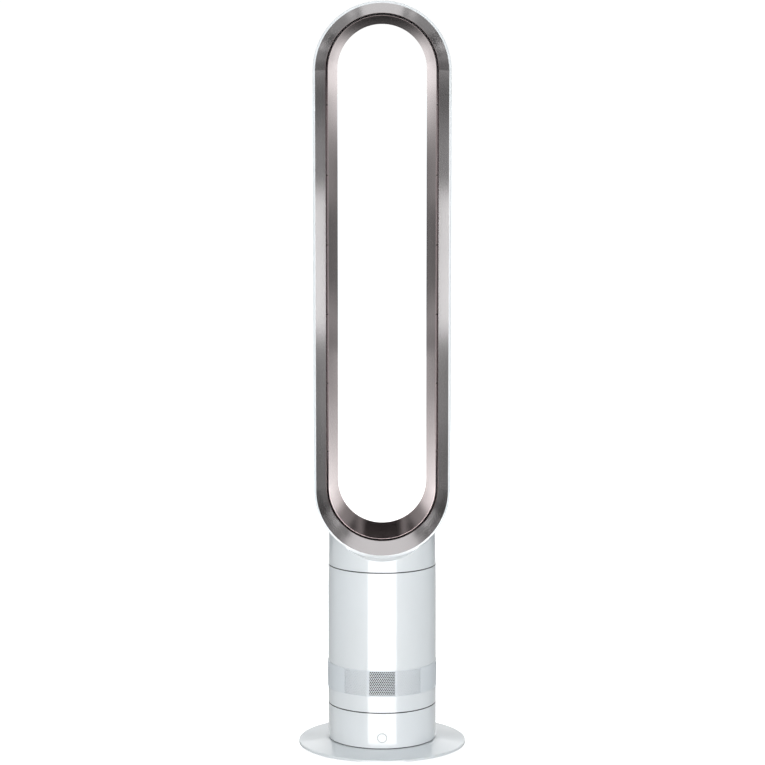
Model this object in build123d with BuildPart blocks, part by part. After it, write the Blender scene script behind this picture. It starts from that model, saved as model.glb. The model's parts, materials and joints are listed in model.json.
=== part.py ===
"""Bladeless tower fan.

Frame: +Z up, the air leaves towards -Y, origin on the floor under the column's axis.
All sizes in millimetres.
"""
import os
from math import acos, atan2, cos, degrees, hypot, pi, radians, sin, sqrt, tan

from build123d import *

os.makedirs("parts", exist_ok=True)

# ---------------------------------------------------------------- clearances
RUNNING_FIT = 0.05        # shaft in its bore, radial
SLIDE_GAP = 0.3           # between faces that turn or slide past each other
CUT_OVER = 1.0            # how far a cutting tool runs past the face it opens

# ---------------------------------------------------------------- foot
FOOT_RADIUS = 113.8
FOOT_LIFT = 0.8           # the rubber ring holds the foot this far off the floor
FOOT_RIM = 3.5            # height of the disc's rim
FOOT_RIM_ROUND = 1.0
FOOT_MARGIN = 2.6         # level ring round the column's foot, before the slope
FOOT_WALL = 2.4
FOOT_BOTTOM = 1.4         # thickness of the closing plate underneath
BALLAST_INSET = 4.0
BALLAST_THICK = 3.8
RUBBER_INSET = 9.8        # from the disc's rim in to the rubber ring
RUBBER_WIDTH = 6.0
RUBBER_SEAT = 0.6         # depth of the ring's groove

# ---------------------------------------------------------------- column
COLUMN_RADIUS = 73.4
CASING_WALL = 2.4
BASE_SHADOW = 1.2         # dark gap between the foot and the base
SHADOW_DEPTH = 1.0
BASE_HEIGHT = 47.9
TURN_GAP = 1.0            # between the base and the body that swings on it
BODY_HEIGHT = 190.7
NECK_GAP = 1.0            # between the body and the loop's neck
NECK_RISE = 16.8          # from the neck's lower edge to the loop's lowest point

# ---------------------------------------------------------------- loop
LOOP_STRAIGHT = 558.0
LOOP_REACH = 91.0         # from the loop's centre line to its outside
LOOP_FRONT = 55.0
LOOP_BACK = 55.0
SHELL_WALL = 3.0
SHELL_ROUND = 1.2         # rounding of the white rim at the front
SLOT_REACH = 73.8         # centre line to the inner edge of the front face
SLOT_SETBACK = 35.4       # from the front edge back to the air slot
SLOT_GAP = 1.8
NOSE_DEPTH = 6.0          # level stretch of the front face behind the slot
NOSE_FLARE = 6.0          # how far the nose curls out into the air way
THROAT_REACH = 60.1
METAL_WALL = 2.0
LIP_WALL = 0.4
LIP_TAPER = 14.0
CURL_JOINT = 120.0        # angle round the back edge where shell and liner meet
NECK_WALL = 3.0
LEDGE_DROP = 0.7          # fine step between the loop and the neck's top
FRONT_LEDGE_FALL = 0.6
BACK_LEDGE_TURN = 54.0    # angle round the back edge where the neck's back ledge starts
BACK_LEDGE_FALL = 2.0
AIR_HOLE_HALF = 52.0      # half-width of the hole from the neck into the loop
AIR_HOLE_FRONT = 42.0
AIR_HOLE_BACK = 34.0
SPACER_THICK = 1.2
SPACER_PITCH = 93.0       # spacing of the slot's spacers along the straight sides
SPLITTER_HALF = 24.0
SPLITTER_HEIGHT = 22.0
SPLITTER_FRONT = 4.0      # behind the nose of the front face
SPLITTER_DEPTH = 34.0

# ---------------------------------------------------------------- air intake
GRILLE_RISE = 22.1        # above the body's lower edge
GRILLE_HEIGHT = 35.5
GRILLE_PROUD = 0.8
GRILLE_WALL = 1.5
GRILLE_HOLE = 2.6         # radius
GRILLE_ROWS = 5
GRILLE_COLUMNS = 48
WINDOW_COUNT = 12
WINDOW_POST = 3.0
WINDOW_MARGIN = 1.6
WINDOW_TURN = 15.0
BLIND_TURNS = (30.0, 60.0)   # the windows this far each side of the front stay closed

# ---------------------------------------------------------------- base, inside
FLOOR_THICK = 2.4
DECK_DROP = 10.5          # from the casing's upper edge down to the deck's underside
DECK_THICK = 3.0
POST_INSET = 7.0          # screw posts' centres, in from the casing's bore
POST_RADIUS = 4.5
POST_COUNT = 4
BASE_POST_TURN = 45.0
WEB_THICK = 3.0
SCREW_RADIUS = 1.5
HEAD_RADIUS = 2.8
HEAD_HEIGHT = 2.4
DRIVE_RECESS = 1.2
FOOT_SCREW_LENGTH = 21.0
DECK_SCREW_LENGTH = 14.0
BOARD_THICK = 1.6
BOARD_LIFT = 6.0
BOARD_HALF = 38.0
BOARD_FRONT = 20.0
BOARD_BACK = 34.0
STANDOFF_RADIUS = 3.0
STANDOFF_INSET = 5.0
CANS = ((-26, -8, 7, 20), (-26, 9, 5, 14), (-12, -10, 4, 11))      # x, y, radius, height
BLOCKS = ((24, -6, 20, 18, 16), (26, 14, 12, 8, 6))                # x, y, width, depth, height

# ---------------------------------------------------------------- front controls
BUTTON_RISE = 14.2        # above the base's lower edge
BUTTON_HOLE = 6.7
BUTTON_FLANGE = 8.0
BUTTON_FLANGE_THICK = 1.5
BUTTON_STEM = 2.5
BUTTON_TRAVEL = 1.0
CONTROL_BOARD_INSET = 11.0
CONTROL_BOARD_HALF = 26.0
CONTROL_BOARD_GAP = 3.0   # under the deck
SWITCH_SIDE = 6.0
SWITCH_DEPTH = 3.5
SWITCH_TIP = 1.0
SWITCH_TIP_RADIUS = 1.7
SPRING_RADIUS = 6.2
SPRING_WIRE = 0.4
SPRING_TURNS = 4
DISPLAY_WIDTH = 22.0
DISPLAY_HEIGHT = 9.0
DISPLAY_DEPTH = 4.0
RECEIVER_SIDE = 6.0
RECEIVER_DEPTH = 3.0
RECEIVER_LENS = 1.8
INLET_WIDTH = 20.0
INLET_HEIGHT = 14.0
INLET_DEPTH = 17.0
INLET_RISE = 5.0
INLET_WELL = 11.0
INLET_WELL_WIDTH = 8.4
PLINTH_DEPTH = 5.0
INLET_PIN = 1.2
INLET_PITCH = 8.6

# ---------------------------------------------------------------- swing drive
GEAR_MODULE = 1.0
PRESSURE_ANGLE = radians(20)
DEDENDUM = 1.25
TOOTH_ROOTING = 0.4
FLANK_STEPS = 5
PINION_TEETH = 16
SECTOR_SIDE = 10          # teeth of the sector on each side of its middle
TOOTH_THINNING = 0.12
GEAR_WIDTH = 6.5
PINION_WIDTH = 5.5
SPIGOT_RADIUS = 16.0
SPIGOT_WALL = 3.0
BOSS_RADIUS = 19.5
TURNTABLE_THICK = 3.0
TURNTABLE_LIFT = 1.0      # the plate's underside above the body casing's lower edge
RIB_CLEARANCE = 1.5       # from the pinion's teeth out to the rib
RIB_WIDTH = 4.0
GLIDE_THICK = 1.5
GLIDE_MARGIN = 1.0
BOSS_RISE = 1.5           # how far the boss stands above the plate
RETAINER_THICK = 2.0
RETAINER_RADIUS = 20.0
RETAINER_STEP = 1.0
DRIVE_MOTOR_RADIUS = 14.0
MOTOR_CLEARANCE = 2.0     # from the drive motor out to the power inlet
DRIVE_MOTOR_HEIGHT = 20.0
DRIVE_SHAFT = 2.5
DRIVE_SHAFT_DEPTH = 10.0
DRIVE_SIDE = 90.0         # the drive stands behind the axis
MOTOR_EAR = 19.0
EAR_WIDTH = 8.0
EAR_THICK = 2.0
LOOM_WIRE = 1.1
LOOM_SPREAD = 3.2
LOOM_RISE = 7.5
PLUG_WIDTH = 14.0
PLUG_DEPTH = 10.0
PLUG_HEIGHT = 6.0
COVER_RADIUS = 24.0
COVER_SKIRT = 6.0
COVER_DOME = 12.0
COVER_WALL = 1.6
TURN_SCREW_LENGTH = 12.0
BODY_POST_HEIGHT = 13.5
FOAM_MARGIN = 1.5
FOAM_THICK = 9.5

# ---------------------------------------------------------------- fan unit
CONE_SPREAD = 19.4        # from the eye's radius out to the duct's
DUCT_WIDTH = 14.0         # between the motor's bucket and the duct
SILENCER_THICK = 8.4
EYE_RISE = 38.5           # above the turntable
CONE_HEIGHT = 33.0
HOUSING_WALL = 2.0
DUCT_HEIGHT = 71.0
BELL_STEP = 3.7
BELL_FLARE = 8.0
TIP_GAP = 0.6
SEAL_LIFT = 0.9           # above the perforated sleeve
SEAL_THICK = 3.0
SEAL_WIDTH = 4.5
LEDGE_WIDTH = 5.0
FLANGE_THICK = 2.0
FLANGE_GAP = 1.5
HUB_FRONT = 10.0
HUB_STEP = 2.0            # from the bucket's outside in to the hub's
HUB_WALL = 3.0
HUB_CORE = 7.0
BLADE_COUNT = 9
BLADE_THICK = 1.6
BLADE_SWEEP = 70.0        # radius of the blades' curve seen from above
MOTOR_SHAFT = 3.0
SHAFT_OVERRUN = 3.5
NUT_SIZE = 5.0
NUT_HEIGHT = 2.5
BUCKET_WALL = 2.5
BUCKET_FLOOR = 3.0
BUCKET_CUP = 34.0
BUCKET_TUBE = 20.0
BUCKET_DOME = 18.0
VANE_COUNT = 9
VANE_RISE = 12.0
VANE_HEIGHT = 40.0
VANE_THICK = 2.0
VANE_CURVE = 30.0
BEARING_OUTER = 11.0
BEARING_RACE = 2.0
BEARING_WIDTH = 6.0
BALL_COUNT = 8
BALL_GAP = 0.02
FRAME_RADIUS = 32.5
FRAME_WALL = 2.5
FRAME_HEIGHT = 35.0
FRAME_ARMS = 6
ARM_THICK = 3.0
STATOR_RISE = 11.0        # above the bucket's floor
STATOR_HEIGHT = 16.0
STATOR_RING = 4.0
STATOR_TEETH = 6
TOOTH_WIDTH = 6.0
TOOTH_SHOE = 12.5
COIL_THICK = 2.2
COIL_START = 15.0
COIL_END = 24.0
ROTOR_GAP = 0.5
ROTOR_OVERHANG = 2.0
MOTOR_BOARD_RADIUS = 34.0
MOTOR_BOARD_LIFT = 5.0
BOARD_POSTS = 3
CAPACITOR_TURN = 60.0
CAPACITOR_RADIUS = 4.0
CAPACITOR_HEIGHT = 9.0

# ---------------------------------------------------------------- bayonet lock
SKIRT_INSET = 11.0        # from the casing's bore in to the neck's skirt
SKIRT_WALL = 2.5
SKIRT_DROP = 13.0
SKIRT_FLANGE = 2.8
LUG_COUNT = 3
LUG_ANGLE = 20.0
LUG_REACH = 4.5
LUG_HEIGHT = 3.4
LOCK_TURN = 26.0
STOP_ANGLE = 4.0
STOP_SPARE = 0.5
SOCKET_FLANGE = 3.0
SOCKET_CHANNEL = 6.0
SOCKET_WALL = 5.0
NOTCH_SPARE = 3.0
NECK_SEAL_WIDTH = 4.0

# ---------------------------------------------------------------- heights and radii that follow
FOOT_UNDER = FOOT_LIFT + FOOT_BOTTOM
FOOT_TOP = FOOT_UNDER + BALLAST_THICK + FOOT_WALL
BASE_LOW = FOOT_TOP + BASE_SHADOW
BASE_TOP = BASE_LOW + BASE_HEIGHT
BODY_LOW = BASE_TOP + TURN_GAP
BODY_TOP = BODY_LOW + BODY_HEIGHT
NECK_LOW = BODY_TOP + NECK_GAP
LOW_CENTRE = NECK_LOW + NECK_RISE + LOOP_REACH
HIGH_CENTRE = LOW_CENTRE + LOOP_STRAIGHT
CASING_BORE = COLUMN_RADIUS - CASING_WALL
FOOT_FLAT = COLUMN_RADIUS + FOOT_MARGIN
RUBBER_REACH = FOOT_RADIUS - RUBBER_INSET
POST_CIRCLE = CASING_BORE - POST_INSET
FLOOR_TOP = BASE_LOW + FLOOR_THICK
DECK_LOW = BASE_TOP - DECK_DROP
DECK_TOP = DECK_LOW + DECK_THICK
PLATE_LOW = BODY_LOW + TURNTABLE_LIFT
PLATE_TOP = PLATE_LOW + TURNTABLE_THICK
BOSS_TOP = PLATE_TOP + BOSS_RISE
BOARD_LOW = FLOOR_TOP + BOARD_LIFT
BOARD_TOP = BOARD_LOW + BOARD_THICK
GEAR_ROOM = CASING_BORE - INLET_DEPTH - MOTOR_CLEARANCE - DRIVE_MOTOR_RADIUS
GEAR_TEETH = round(2 * GEAR_ROOM / GEAR_MODULE) - PINION_TEETH
GEAR_CENTRES = GEAR_MODULE * (GEAR_TEETH + PINION_TEETH) / 2
PINION_TIP = GEAR_MODULE * (PINION_TEETH / 2 + 1)
RIB_RADIUS = GEAR_CENTRES + PINION_TIP + RIB_CLEARANCE + RIB_WIDTH
EARS = ((-MOTOR_EAR, GEAR_CENTRES), (MOTOR_EAR, GEAR_CENTRES))
BUTTON_LEVEL = BASE_LOW + BUTTON_RISE
CONTROL_FRONT = CONTROL_BOARD_INSET - CASING_BORE
CONTROL_TOP = DECK_LOW - CONTROL_BOARD_GAP
INLET_LEVEL = FLOOR_TOP + INLET_RISE
INLET_FACE = COLUMN_RADIUS - SHADOW_DEPTH / 2
LOOM_TOP = PLATE_TOP + LOOM_RISE
GRILLE_LOW = BODY_LOW + GRILLE_RISE
GRILLE_TOP = GRILLE_LOW + GRILLE_HEIGHT
GRILLE_RADIUS = COLUMN_RADIUS + GRILLE_PROUD
REBATE_RADIUS = GRILLE_RADIUS - GRILLE_WALL
SEAL_LEVEL = GRILLE_TOP + SEAL_LIFT
FLANGE_LOW = SEAL_LEVEL + SEAL_THICK
EYE_LEVEL = PLATE_TOP + EYE_RISE
EXIT_LEVEL = EYE_LEVEL + CONE_HEIGHT
HOUSING_TOP = EXIT_LEVEL + DUCT_HEIGHT
CUP_FLOOR = EXIT_LEVEL + BUCKET_FLOOR
BUCKET_JOINT = EXIT_LEVEL + BUCKET_CUP
BUCKET_SHOULDER = BUCKET_JOINT + BUCKET_TUBE
SLEEVE_RADIUS = CASING_BORE - SLIDE_GAP
EXIT_RADIUS = SLEEVE_RADIUS - SILENCER_THICK - SLIDE_GAP - HOUSING_WALL
EYE_RADIUS = EXIT_RADIUS - CONE_SPREAD
BUCKET_RADIUS = EXIT_RADIUS - DUCT_WIDTH
BUCKET_BORE = BUCKET_RADIUS - BUCKET_WALL
HUB_BACK = BUCKET_RADIUS - HUB_STEP
FOAM_RADIUS = POST_CIRCLE - POST_RADIUS - FOAM_MARGIN
SKIRT_RADIUS = CASING_BORE - SKIRT_INSET
VANE_LOW = EXIT_LEVEL + VANE_RISE
FRAME_TOP = CUP_FLOOR + FRAME_HEIGHT
FRAME_CAP = FRAME_TOP + FRAME_WALL
STATOR_LOW = CUP_FLOOR + STATOR_RISE
STATOR_TOP = STATOR_LOW + STATOR_HEIGHT
MOTOR_BOARD_LOW = FRAME_CAP + MOTOR_BOARD_LIFT
SOCKET_TOP = BODY_TOP - NECK_GAP
SOCKET_BORE = CASING_BORE - SOCKET_WALL
LOCK_TOP = SOCKET_TOP - SOCKET_FLANGE
LOCK_LOW = LOCK_TOP - SOCKET_FLANGE
CHANNEL_LOW = LOCK_LOW - SOCKET_CHANNEL
CURL_RADIUS = (LOOP_REACH - THROAT_REACH) / 2
CURL_CENTRE = Vector(LOOP_REACH - CURL_RADIUS, LOOP_BACK - CURL_RADIUS)
SLOT_DEPTH = SLOT_SETBACK - LOOP_FRONT
LIP = Vector(SLOT_REACH - SLOT_GAP - LIP_WALL, SLOT_DEPTH)
FACE_EDGE = Vector(LOOP_REACH - SHELL_WALL, -LOOP_FRONT)
FACE_SLOT = Vector(SLOT_REACH, SLOT_DEPTH)


# ---------------------------------------------------------------- helpers
def finish(piece, name):
    """Name a finished piece and write its file."""
    piece.part.label = name
    export_step(piece.part, f"parts/{name}.step")


def ring(outer, inner, low, high, mode=Mode.ADD):
    """A plain ring, or a disc where inner is 0, between two heights."""
    with BuildSketch(Plane.XY.offset(low)) as section:
        Circle(outer)
        if inner > 0:
            Circle(inner, mode=Mode.SUBTRACT)
    extrude(section.sketch, amount=high - low, mode=mode)


def discs(radius, low, high, circle, count, start=0.0, mode=Mode.ADD):
    """Upright round posts, or holes, evenly spaced on a circle."""
    with BuildSketch(Plane.XY.offset(low)) as section:
        with PolarLocations(circle, count, start_angle=start):
            Circle(radius)
    extrude(section.sketch, amount=high - low, mode=mode)


def spokes(inner, outer, thick, low, high, count, start=0.0, mode=Mode.ADD):
    """Straight radial walls between two radii."""
    with BuildSketch(Plane.XY.offset(low)) as section:
        with PolarLocations((inner + outer) / 2, count, start_angle=start):
            Rectangle(outer - inner, thick)
    extrude(section.sketch, amount=high - low, mode=mode)


def block(width, depth, low, high, centre=(0, 0), mode=Mode.ADD):
    """A rectangular block standing between two heights."""
    with BuildSketch(Plane.XY.offset(low)) as section:
        with Locations(centre):
            Rectangle(width, depth)
    extrude(section.sketch, amount=high - low, mode=mode)


def turned(points, mode=Mode.ADD):
    """A body turned about the column's axis from (radius, height) points."""
    with BuildSketch(Plane.XZ) as section:
        with BuildLine():
            Polyline(*points, close=True)
        make_face()
    revolve(section.sketch, axis=Axis.Z, mode=mode)


def along_y(radius, start, end, height, x=0.0, mode=Mode.ADD):
    """A round bar or hole along Y, from one depth to another."""
    with BuildSketch(Plane.XZ.offset(-start)) as section:
        with Locations((x, height)):
            Circle(radius)
    extrude(section.sketch, amount=start - end, mode=mode)


def sheet(points, wall):
    """Outline of a bent sheet: the path, and the same path moved wall to its left."""
    path = [Vector(*point) for point in points]
    runs = [(b - a).normalized() for a, b in zip(path, path[1:])]
    sides = [Vector(-run.Y, run.X) for run in runs]
    moved = [path[0] + sides[0] * wall]
    for corner, before, after in zip(path[1:], sides, sides[1:]):
        middle = (before + after).normalized()
        moved.append(corner + middle * (wall / middle.dot(after)))
    moved.append(path[-1] + sides[-1] * wall)
    return path + moved[::-1]


def dome(outer, base, rise, wall):
    """A shell of half an ellipsoid standing on a level."""
    with BuildSketch(Plane.XZ) as section:
        with Locations((0, base)):
            Ellipse(outer, rise)
            Ellipse(outer - wall, rise - wall, mode=Mode.SUBTRACT)
            Rectangle(outer, rise, align=Align.MIN, mode=Mode.INTERSECT)
    revolve(section.sketch, axis=Axis.Z)


def screws(head_low, length, circle, count, start=0.0, upward=True):
    """A set of round-headed screws; the head is below when they point up."""
    seat = head_low + HEAD_HEIGHT if upward else head_low
    tip = seat + length if upward else seat - length
    discs(HEAD_RADIUS, head_low, head_low + HEAD_HEIGHT, circle, count, start)
    discs(SCREW_RADIUS, min(seat, tip), max(seat, tip), circle, count, start)
    drive = head_low if upward else head_low + HEAD_HEIGHT / 2
    discs(DRIVE_RECESS, drive, drive + HEAD_HEIGHT / 2, circle, count, start, Mode.SUBTRACT)


def curved_walls(radius, thick, inner, outer, low, high, count):
    """Upright walls between two radii, such as blades and vanes, each an arc in plan."""
    middle = (inner + outer) / 2
    with BuildSketch() as arcs:
        with Locations((middle, -radius)):
            Circle(radius + thick / 2)
            Circle(radius - thick / 2, mode=Mode.SUBTRACT)
        Circle(outer, mode=Mode.INTERSECT)
        Circle(inner, mode=Mode.SUBTRACT)
    wall = arcs.faces().sort_by_distance((middle, 0, 0))[0]
    with BuildSketch(Plane.XY.offset(low)) as section:
        with PolarLocations(0, count):
            add(wall)
    extrude(section.sketch, amount=high - low)


def tooth_points(teeth):
    """One gear tooth on the X axis, its flanks true involutes, rooted a little inside the rim."""
    pitch = GEAR_MODULE * teeth / 2
    base = pitch * cos(PRESSURE_ANGLE)
    root = pitch - DEDENDUM * GEAR_MODULE
    tip = pitch + GEAR_MODULE
    start = max(base, root)
    half = (pi / 2 - TOOTH_THINNING / GEAR_MODULE) / teeth + tan(PRESSURE_ANGLE) - PRESSURE_ANGLE
    flank = []
    for step in range(FLANK_STEPS + 1):
        radius = start + (tip - start) * step / FLANK_STEPS
        roll = acos(base / radius)
        flank.append((radius, half - tan(roll) + roll))
    flank.insert(0, (root - TOOTH_ROOTING, flank[0][1]))
    outline = flank + [(radius, -angle) for radius, angle in flank[::-1]]
    return [(radius * cos(angle), radius * sin(angle)) for radius, angle in outline]


def toothed(teeth, angles, centre, low, width):
    """A gear's rim and the teeth at the given angles."""
    root = GEAR_MODULE * (teeth / 2 - DEDENDUM)
    with BuildSketch(Plane.XY.offset(low)) as section:
        with Locations(centre):
            Circle(root)
            for angle in angles:
                with Locations(Rotation(0, 0, angle)):
                    Polygon(*tooth_points(teeth), align=None)
    extrude(section.sketch, amount=width)


def round_the_loop(section, mode=Mode.ADD):
    """Carry a section along both straight sides and round both half turns of the loop."""
    low = Pos(0, 0, LOW_CENTRE) * section
    high = Pos(0, 0, HIGH_CENTRE) * section
    extrude(low, amount=LOOP_STRAIGHT, dir=(0, 0, 1), mode=mode)
    extrude(low.mirror(Plane.YZ), amount=LOOP_STRAIGHT, dir=(0, 0, 1), mode=mode)
    revolve(low, axis=Axis((0, 0, LOW_CENTRE), (0, 1, 0)), revolution_arc=180, mode=mode)
    revolve(high, axis=Axis((0, 0, HIGH_CENTRE), (0, -1, 0)), revolution_arc=180, mode=mode)


# ---------------------------------------------------------------- foot
def make_foot_ring():
    with BuildPart() as foot_ring:
        ring(RUBBER_REACH, RUBBER_REACH - RUBBER_WIDTH, 0, FOOT_LIFT + RUBBER_SEAT)
    finish(foot_ring, "foot_ring")


def make_foot_bottom():
    with BuildPart() as foot_bottom:
        ring(FOOT_RADIUS - FOOT_WALL, 0, FOOT_LIFT, FOOT_UNDER)
        groove_top = FOOT_LIFT + RUBBER_SEAT
        ring(RUBBER_REACH, RUBBER_REACH - RUBBER_WIDTH, FOOT_LIFT, groove_top, Mode.SUBTRACT)
    finish(foot_bottom, "foot_bottom")


def make_ballast_plate():
    with BuildPart() as ballast_plate:
        ring(FOOT_FLAT - BALLAST_INSET, 0, FOOT_UNDER, FOOT_UNDER + BALLAST_THICK)
        head_top = FOOT_UNDER + HEAD_HEIGHT
        discs(HEAD_RADIUS, FOOT_UNDER, head_top, POST_CIRCLE, POST_COUNT, BASE_POST_TURN, Mode.SUBTRACT)
        discs(SCREW_RADIUS, head_top, FOOT_TOP, POST_CIRCLE, POST_COUNT, BASE_POST_TURN, Mode.SUBTRACT)
    finish(ballast_plate, "ballast_plate")


def make_foot_cover():
    """The wide white disc: a rounded rim, a gentle slope and a level middle."""
    rim_top = FOOT_LIFT + FOOT_RIM
    inner = FOOT_RADIUS - FOOT_WALL
    slope = (FOOT_TOP - rim_top) / (FOOT_RADIUS - FOOT_RIM_ROUND - FOOT_FLAT)
    under_rim = FOOT_TOP - FOOT_WALL - slope * (inner - FOOT_FLAT)
    with BuildPart() as foot_cover:
        with BuildSketch(Plane.XZ) as section:
            with BuildLine():
                Polyline(
                    (FOOT_RADIUS - FOOT_RIM_ROUND, rim_top),
                    (FOOT_FLAT, FOOT_TOP),
                    (0, FOOT_TOP),
                    (0, FOOT_TOP - FOOT_WALL),
                    (FOOT_FLAT, FOOT_TOP - FOOT_WALL),
                    (inner, max(under_rim, FOOT_UNDER)),
                    (inner, FOOT_LIFT),
                    (FOOT_RADIUS, FOOT_LIFT),
                    (FOOT_RADIUS, rim_top - FOOT_RIM_ROUND),
                )
                RadiusArc(
                    (FOOT_RADIUS, rim_top - FOOT_RIM_ROUND),
                    (FOOT_RADIUS - FOOT_RIM_ROUND, rim_top),
                    -FOOT_RIM_ROUND,
                )
            make_face()
        revolve(section.sketch, axis=Axis.Z)
        discs(SCREW_RADIUS, FOOT_UNDER, FOOT_TOP, POST_CIRCLE, POST_COUNT, BASE_POST_TURN, Mode.SUBTRACT)
    finish(foot_cover, "foot_cover")


def make_foot_screws():
    with BuildPart() as foot_screws:
        screws(FOOT_UNDER, FOOT_SCREW_LENGTH, POST_CIRCLE, POST_COUNT, BASE_POST_TURN)
    finish(foot_screws, "foot_screws")


# ---------------------------------------------------------------- base
def make_base_floor():
    """Closing plate of the base: it stands on the foot, set back to leave the dark gap."""
    with BuildPart() as base_floor:
        ring(COLUMN_RADIUS - SHADOW_DEPTH, 0, FOOT_TOP, BASE_LOW)
        ring(CASING_BORE, 0, BASE_LOW, FLOOR_TOP)
        inlet_middle = CASING_BORE - INLET_DEPTH / 2
        block(INLET_WIDTH, PLINTH_DEPTH, FLOOR_TOP, INLET_LEVEL, (0, inlet_middle))
        for x in (-BOARD_HALF + STANDOFF_INSET, BOARD_HALF - STANDOFF_INSET):
            for y in (-BOARD_FRONT + STANDOFF_INSET, BOARD_BACK - STANDOFF_INSET):
                block(STANDOFF_RADIUS * 2, STANDOFF_RADIUS * 2, FLOOR_TOP, BOARD_LOW, (x, y))
        discs(SCREW_RADIUS, FOOT_TOP, FLOOR_TOP, POST_CIRCLE, POST_COUNT, BASE_POST_TURN, Mode.SUBTRACT)
    finish(base_floor, "base_floor")


def make_base_casing():
    """Lower tube of the column, with the button's hole in front and the power inlet behind."""
    with BuildPart() as base_casing:
        ring(COLUMN_RADIUS, CASING_BORE, BASE_LOW, BASE_TOP)
        discs(POST_RADIUS, FLOOR_TOP, DECK_LOW, POST_CIRCLE, POST_COUNT, BASE_POST_TURN)
        outer = CASING_BORE + CASING_WALL / 2
        spokes(POST_CIRCLE, outer, WEB_THICK, FLOOR_TOP, DECK_LOW, POST_COUNT, BASE_POST_TURN)
        discs(SCREW_RADIUS, FLOOR_TOP, DECK_LOW, POST_CIRCLE, POST_COUNT, BASE_POST_TURN, Mode.SUBTRACT)
        along_y(BUTTON_HOLE, -COLUMN_RADIUS - CUT_OVER, -POST_CIRCLE, BUTTON_LEVEL, mode=Mode.SUBTRACT)
        inlet_top = INLET_LEVEL + INLET_HEIGHT
        cut = 4 * CASING_WALL
        block(INLET_WIDTH, cut, INLET_LEVEL, inlet_top, (0, COLUMN_RADIUS), Mode.SUBTRACT)
    finish(base_casing, "base_casing")


def make_main_board():
    middle = (BOARD_BACK - BOARD_FRONT) / 2
    with BuildPart() as main_board:
        block(2 * BOARD_HALF, BOARD_FRONT + BOARD_BACK, BOARD_LOW, BOARD_TOP, (0, middle))
    finish(main_board, "main_board")


def make_board_components():
    """Capacitors, transformer and coil of the power supply."""
    with BuildPart() as board_components:
        for x, y, radius, height in CANS:
            with BuildSketch(Plane.XY.offset(BOARD_TOP)) as can:
                with Locations((x, y)):
                    Circle(radius)
            extrude(can.sketch, amount=height)
        for x, y, width, depth, height in BLOCKS:
            block(width, depth, BOARD_TOP, BOARD_TOP + height, (x, y))
    finish(board_components, "board_components")


def make_control_board():
    with BuildPart() as control_board:
        middle = (0, CONTROL_FRONT + BOARD_THICK / 2)
        block(2 * CONTROL_BOARD_HALF, BOARD_THICK, FLOOR_TOP, CONTROL_TOP, middle)
    finish(control_board, "control_board")


def make_tact_switch():
    front = CONTROL_FRONT - SWITCH_DEPTH
    low = BUTTON_LEVEL - SWITCH_SIDE / 2
    with BuildPart() as tact_switch:
        block(SWITCH_SIDE, SWITCH_DEPTH, low, low + SWITCH_SIDE, (0, front + SWITCH_DEPTH / 2))
        along_y(SWITCH_TIP_RADIUS, front - SWITCH_TIP, front, BUTTON_LEVEL)
    finish(tact_switch, "tact_switch")


def make_display_module():
    """Lamp block that shines through the white casing above the button."""
    with BuildPart() as display_module:
        middle = (0, CONTROL_FRONT - DISPLAY_DEPTH / 2)
        block(DISPLAY_WIDTH, DISPLAY_DEPTH, CONTROL_TOP - DISPLAY_HEIGHT, CONTROL_TOP, middle)
    finish(display_module, "display_module")


def make_remote_receiver():
    """Infrared receiver for the hand-held remote, beside the switch."""
    x = CONTROL_BOARD_HALF - RECEIVER_SIDE
    low = BUTTON_LEVEL - RECEIVER_SIDE / 2
    front = CONTROL_FRONT - RECEIVER_DEPTH
    with BuildPart() as remote_receiver:
        middle = (x, front + RECEIVER_DEPTH / 2)
        block(RECEIVER_SIDE, RECEIVER_DEPTH, low, low + RECEIVER_SIDE, middle)
        along_y(RECEIVER_LENS, front - RECEIVER_LENS, front, BUTTON_LEVEL, x)
    finish(remote_receiver, "remote_receiver")


def button_flange_front():
    """Depth of the flange's front face, clear of the casing's curved inside."""
    return -sqrt(CASING_BORE**2 - BUTTON_FLANGE**2) + SLIDE_GAP


def make_power_button():
    """Round button, flush with the column, that slides straight back."""
    flange_front = button_flange_front()
    flange_back = flange_front + BUTTON_FLANGE_THICK
    stem_end = CONTROL_FRONT - SWITCH_DEPTH - SWITCH_TIP - BUTTON_TRAVEL - SLIDE_GAP
    with BuildPart() as power_button:
        along_y(BUTTON_HOLE - SLIDE_GAP, -COLUMN_RADIUS, flange_front, BUTTON_LEVEL)
        ring(COLUMN_RADIUS, 0, 0, BASE_TOP, Mode.INTERSECT)
        along_y(BUTTON_FLANGE, flange_front, flange_back, BUTTON_LEVEL)
        along_y(BUTTON_STEM, flange_back, stem_end, BUTTON_LEVEL)
    finish(power_button, "power_button")


def make_button_spring():
    back = CONTROL_FRONT - SPRING_WIRE
    length = back - (button_flange_front() + BUTTON_FLANGE_THICK + SPRING_WIRE)
    with BuildPart() as button_spring:
        with BuildLine() as coil:
            Helix(length / SPRING_TURNS, length, SPRING_RADIUS, (0, back, BUTTON_LEVEL), (0, -1, 0))
        with BuildSketch(Plane(coil.line @ 0, z_dir=coil.line % 0)) as wire:
            Circle(SPRING_WIRE)
        sweep(wire.sketch, path=coil.line, is_frenet=True)
    finish(button_spring, "button_spring")


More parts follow.
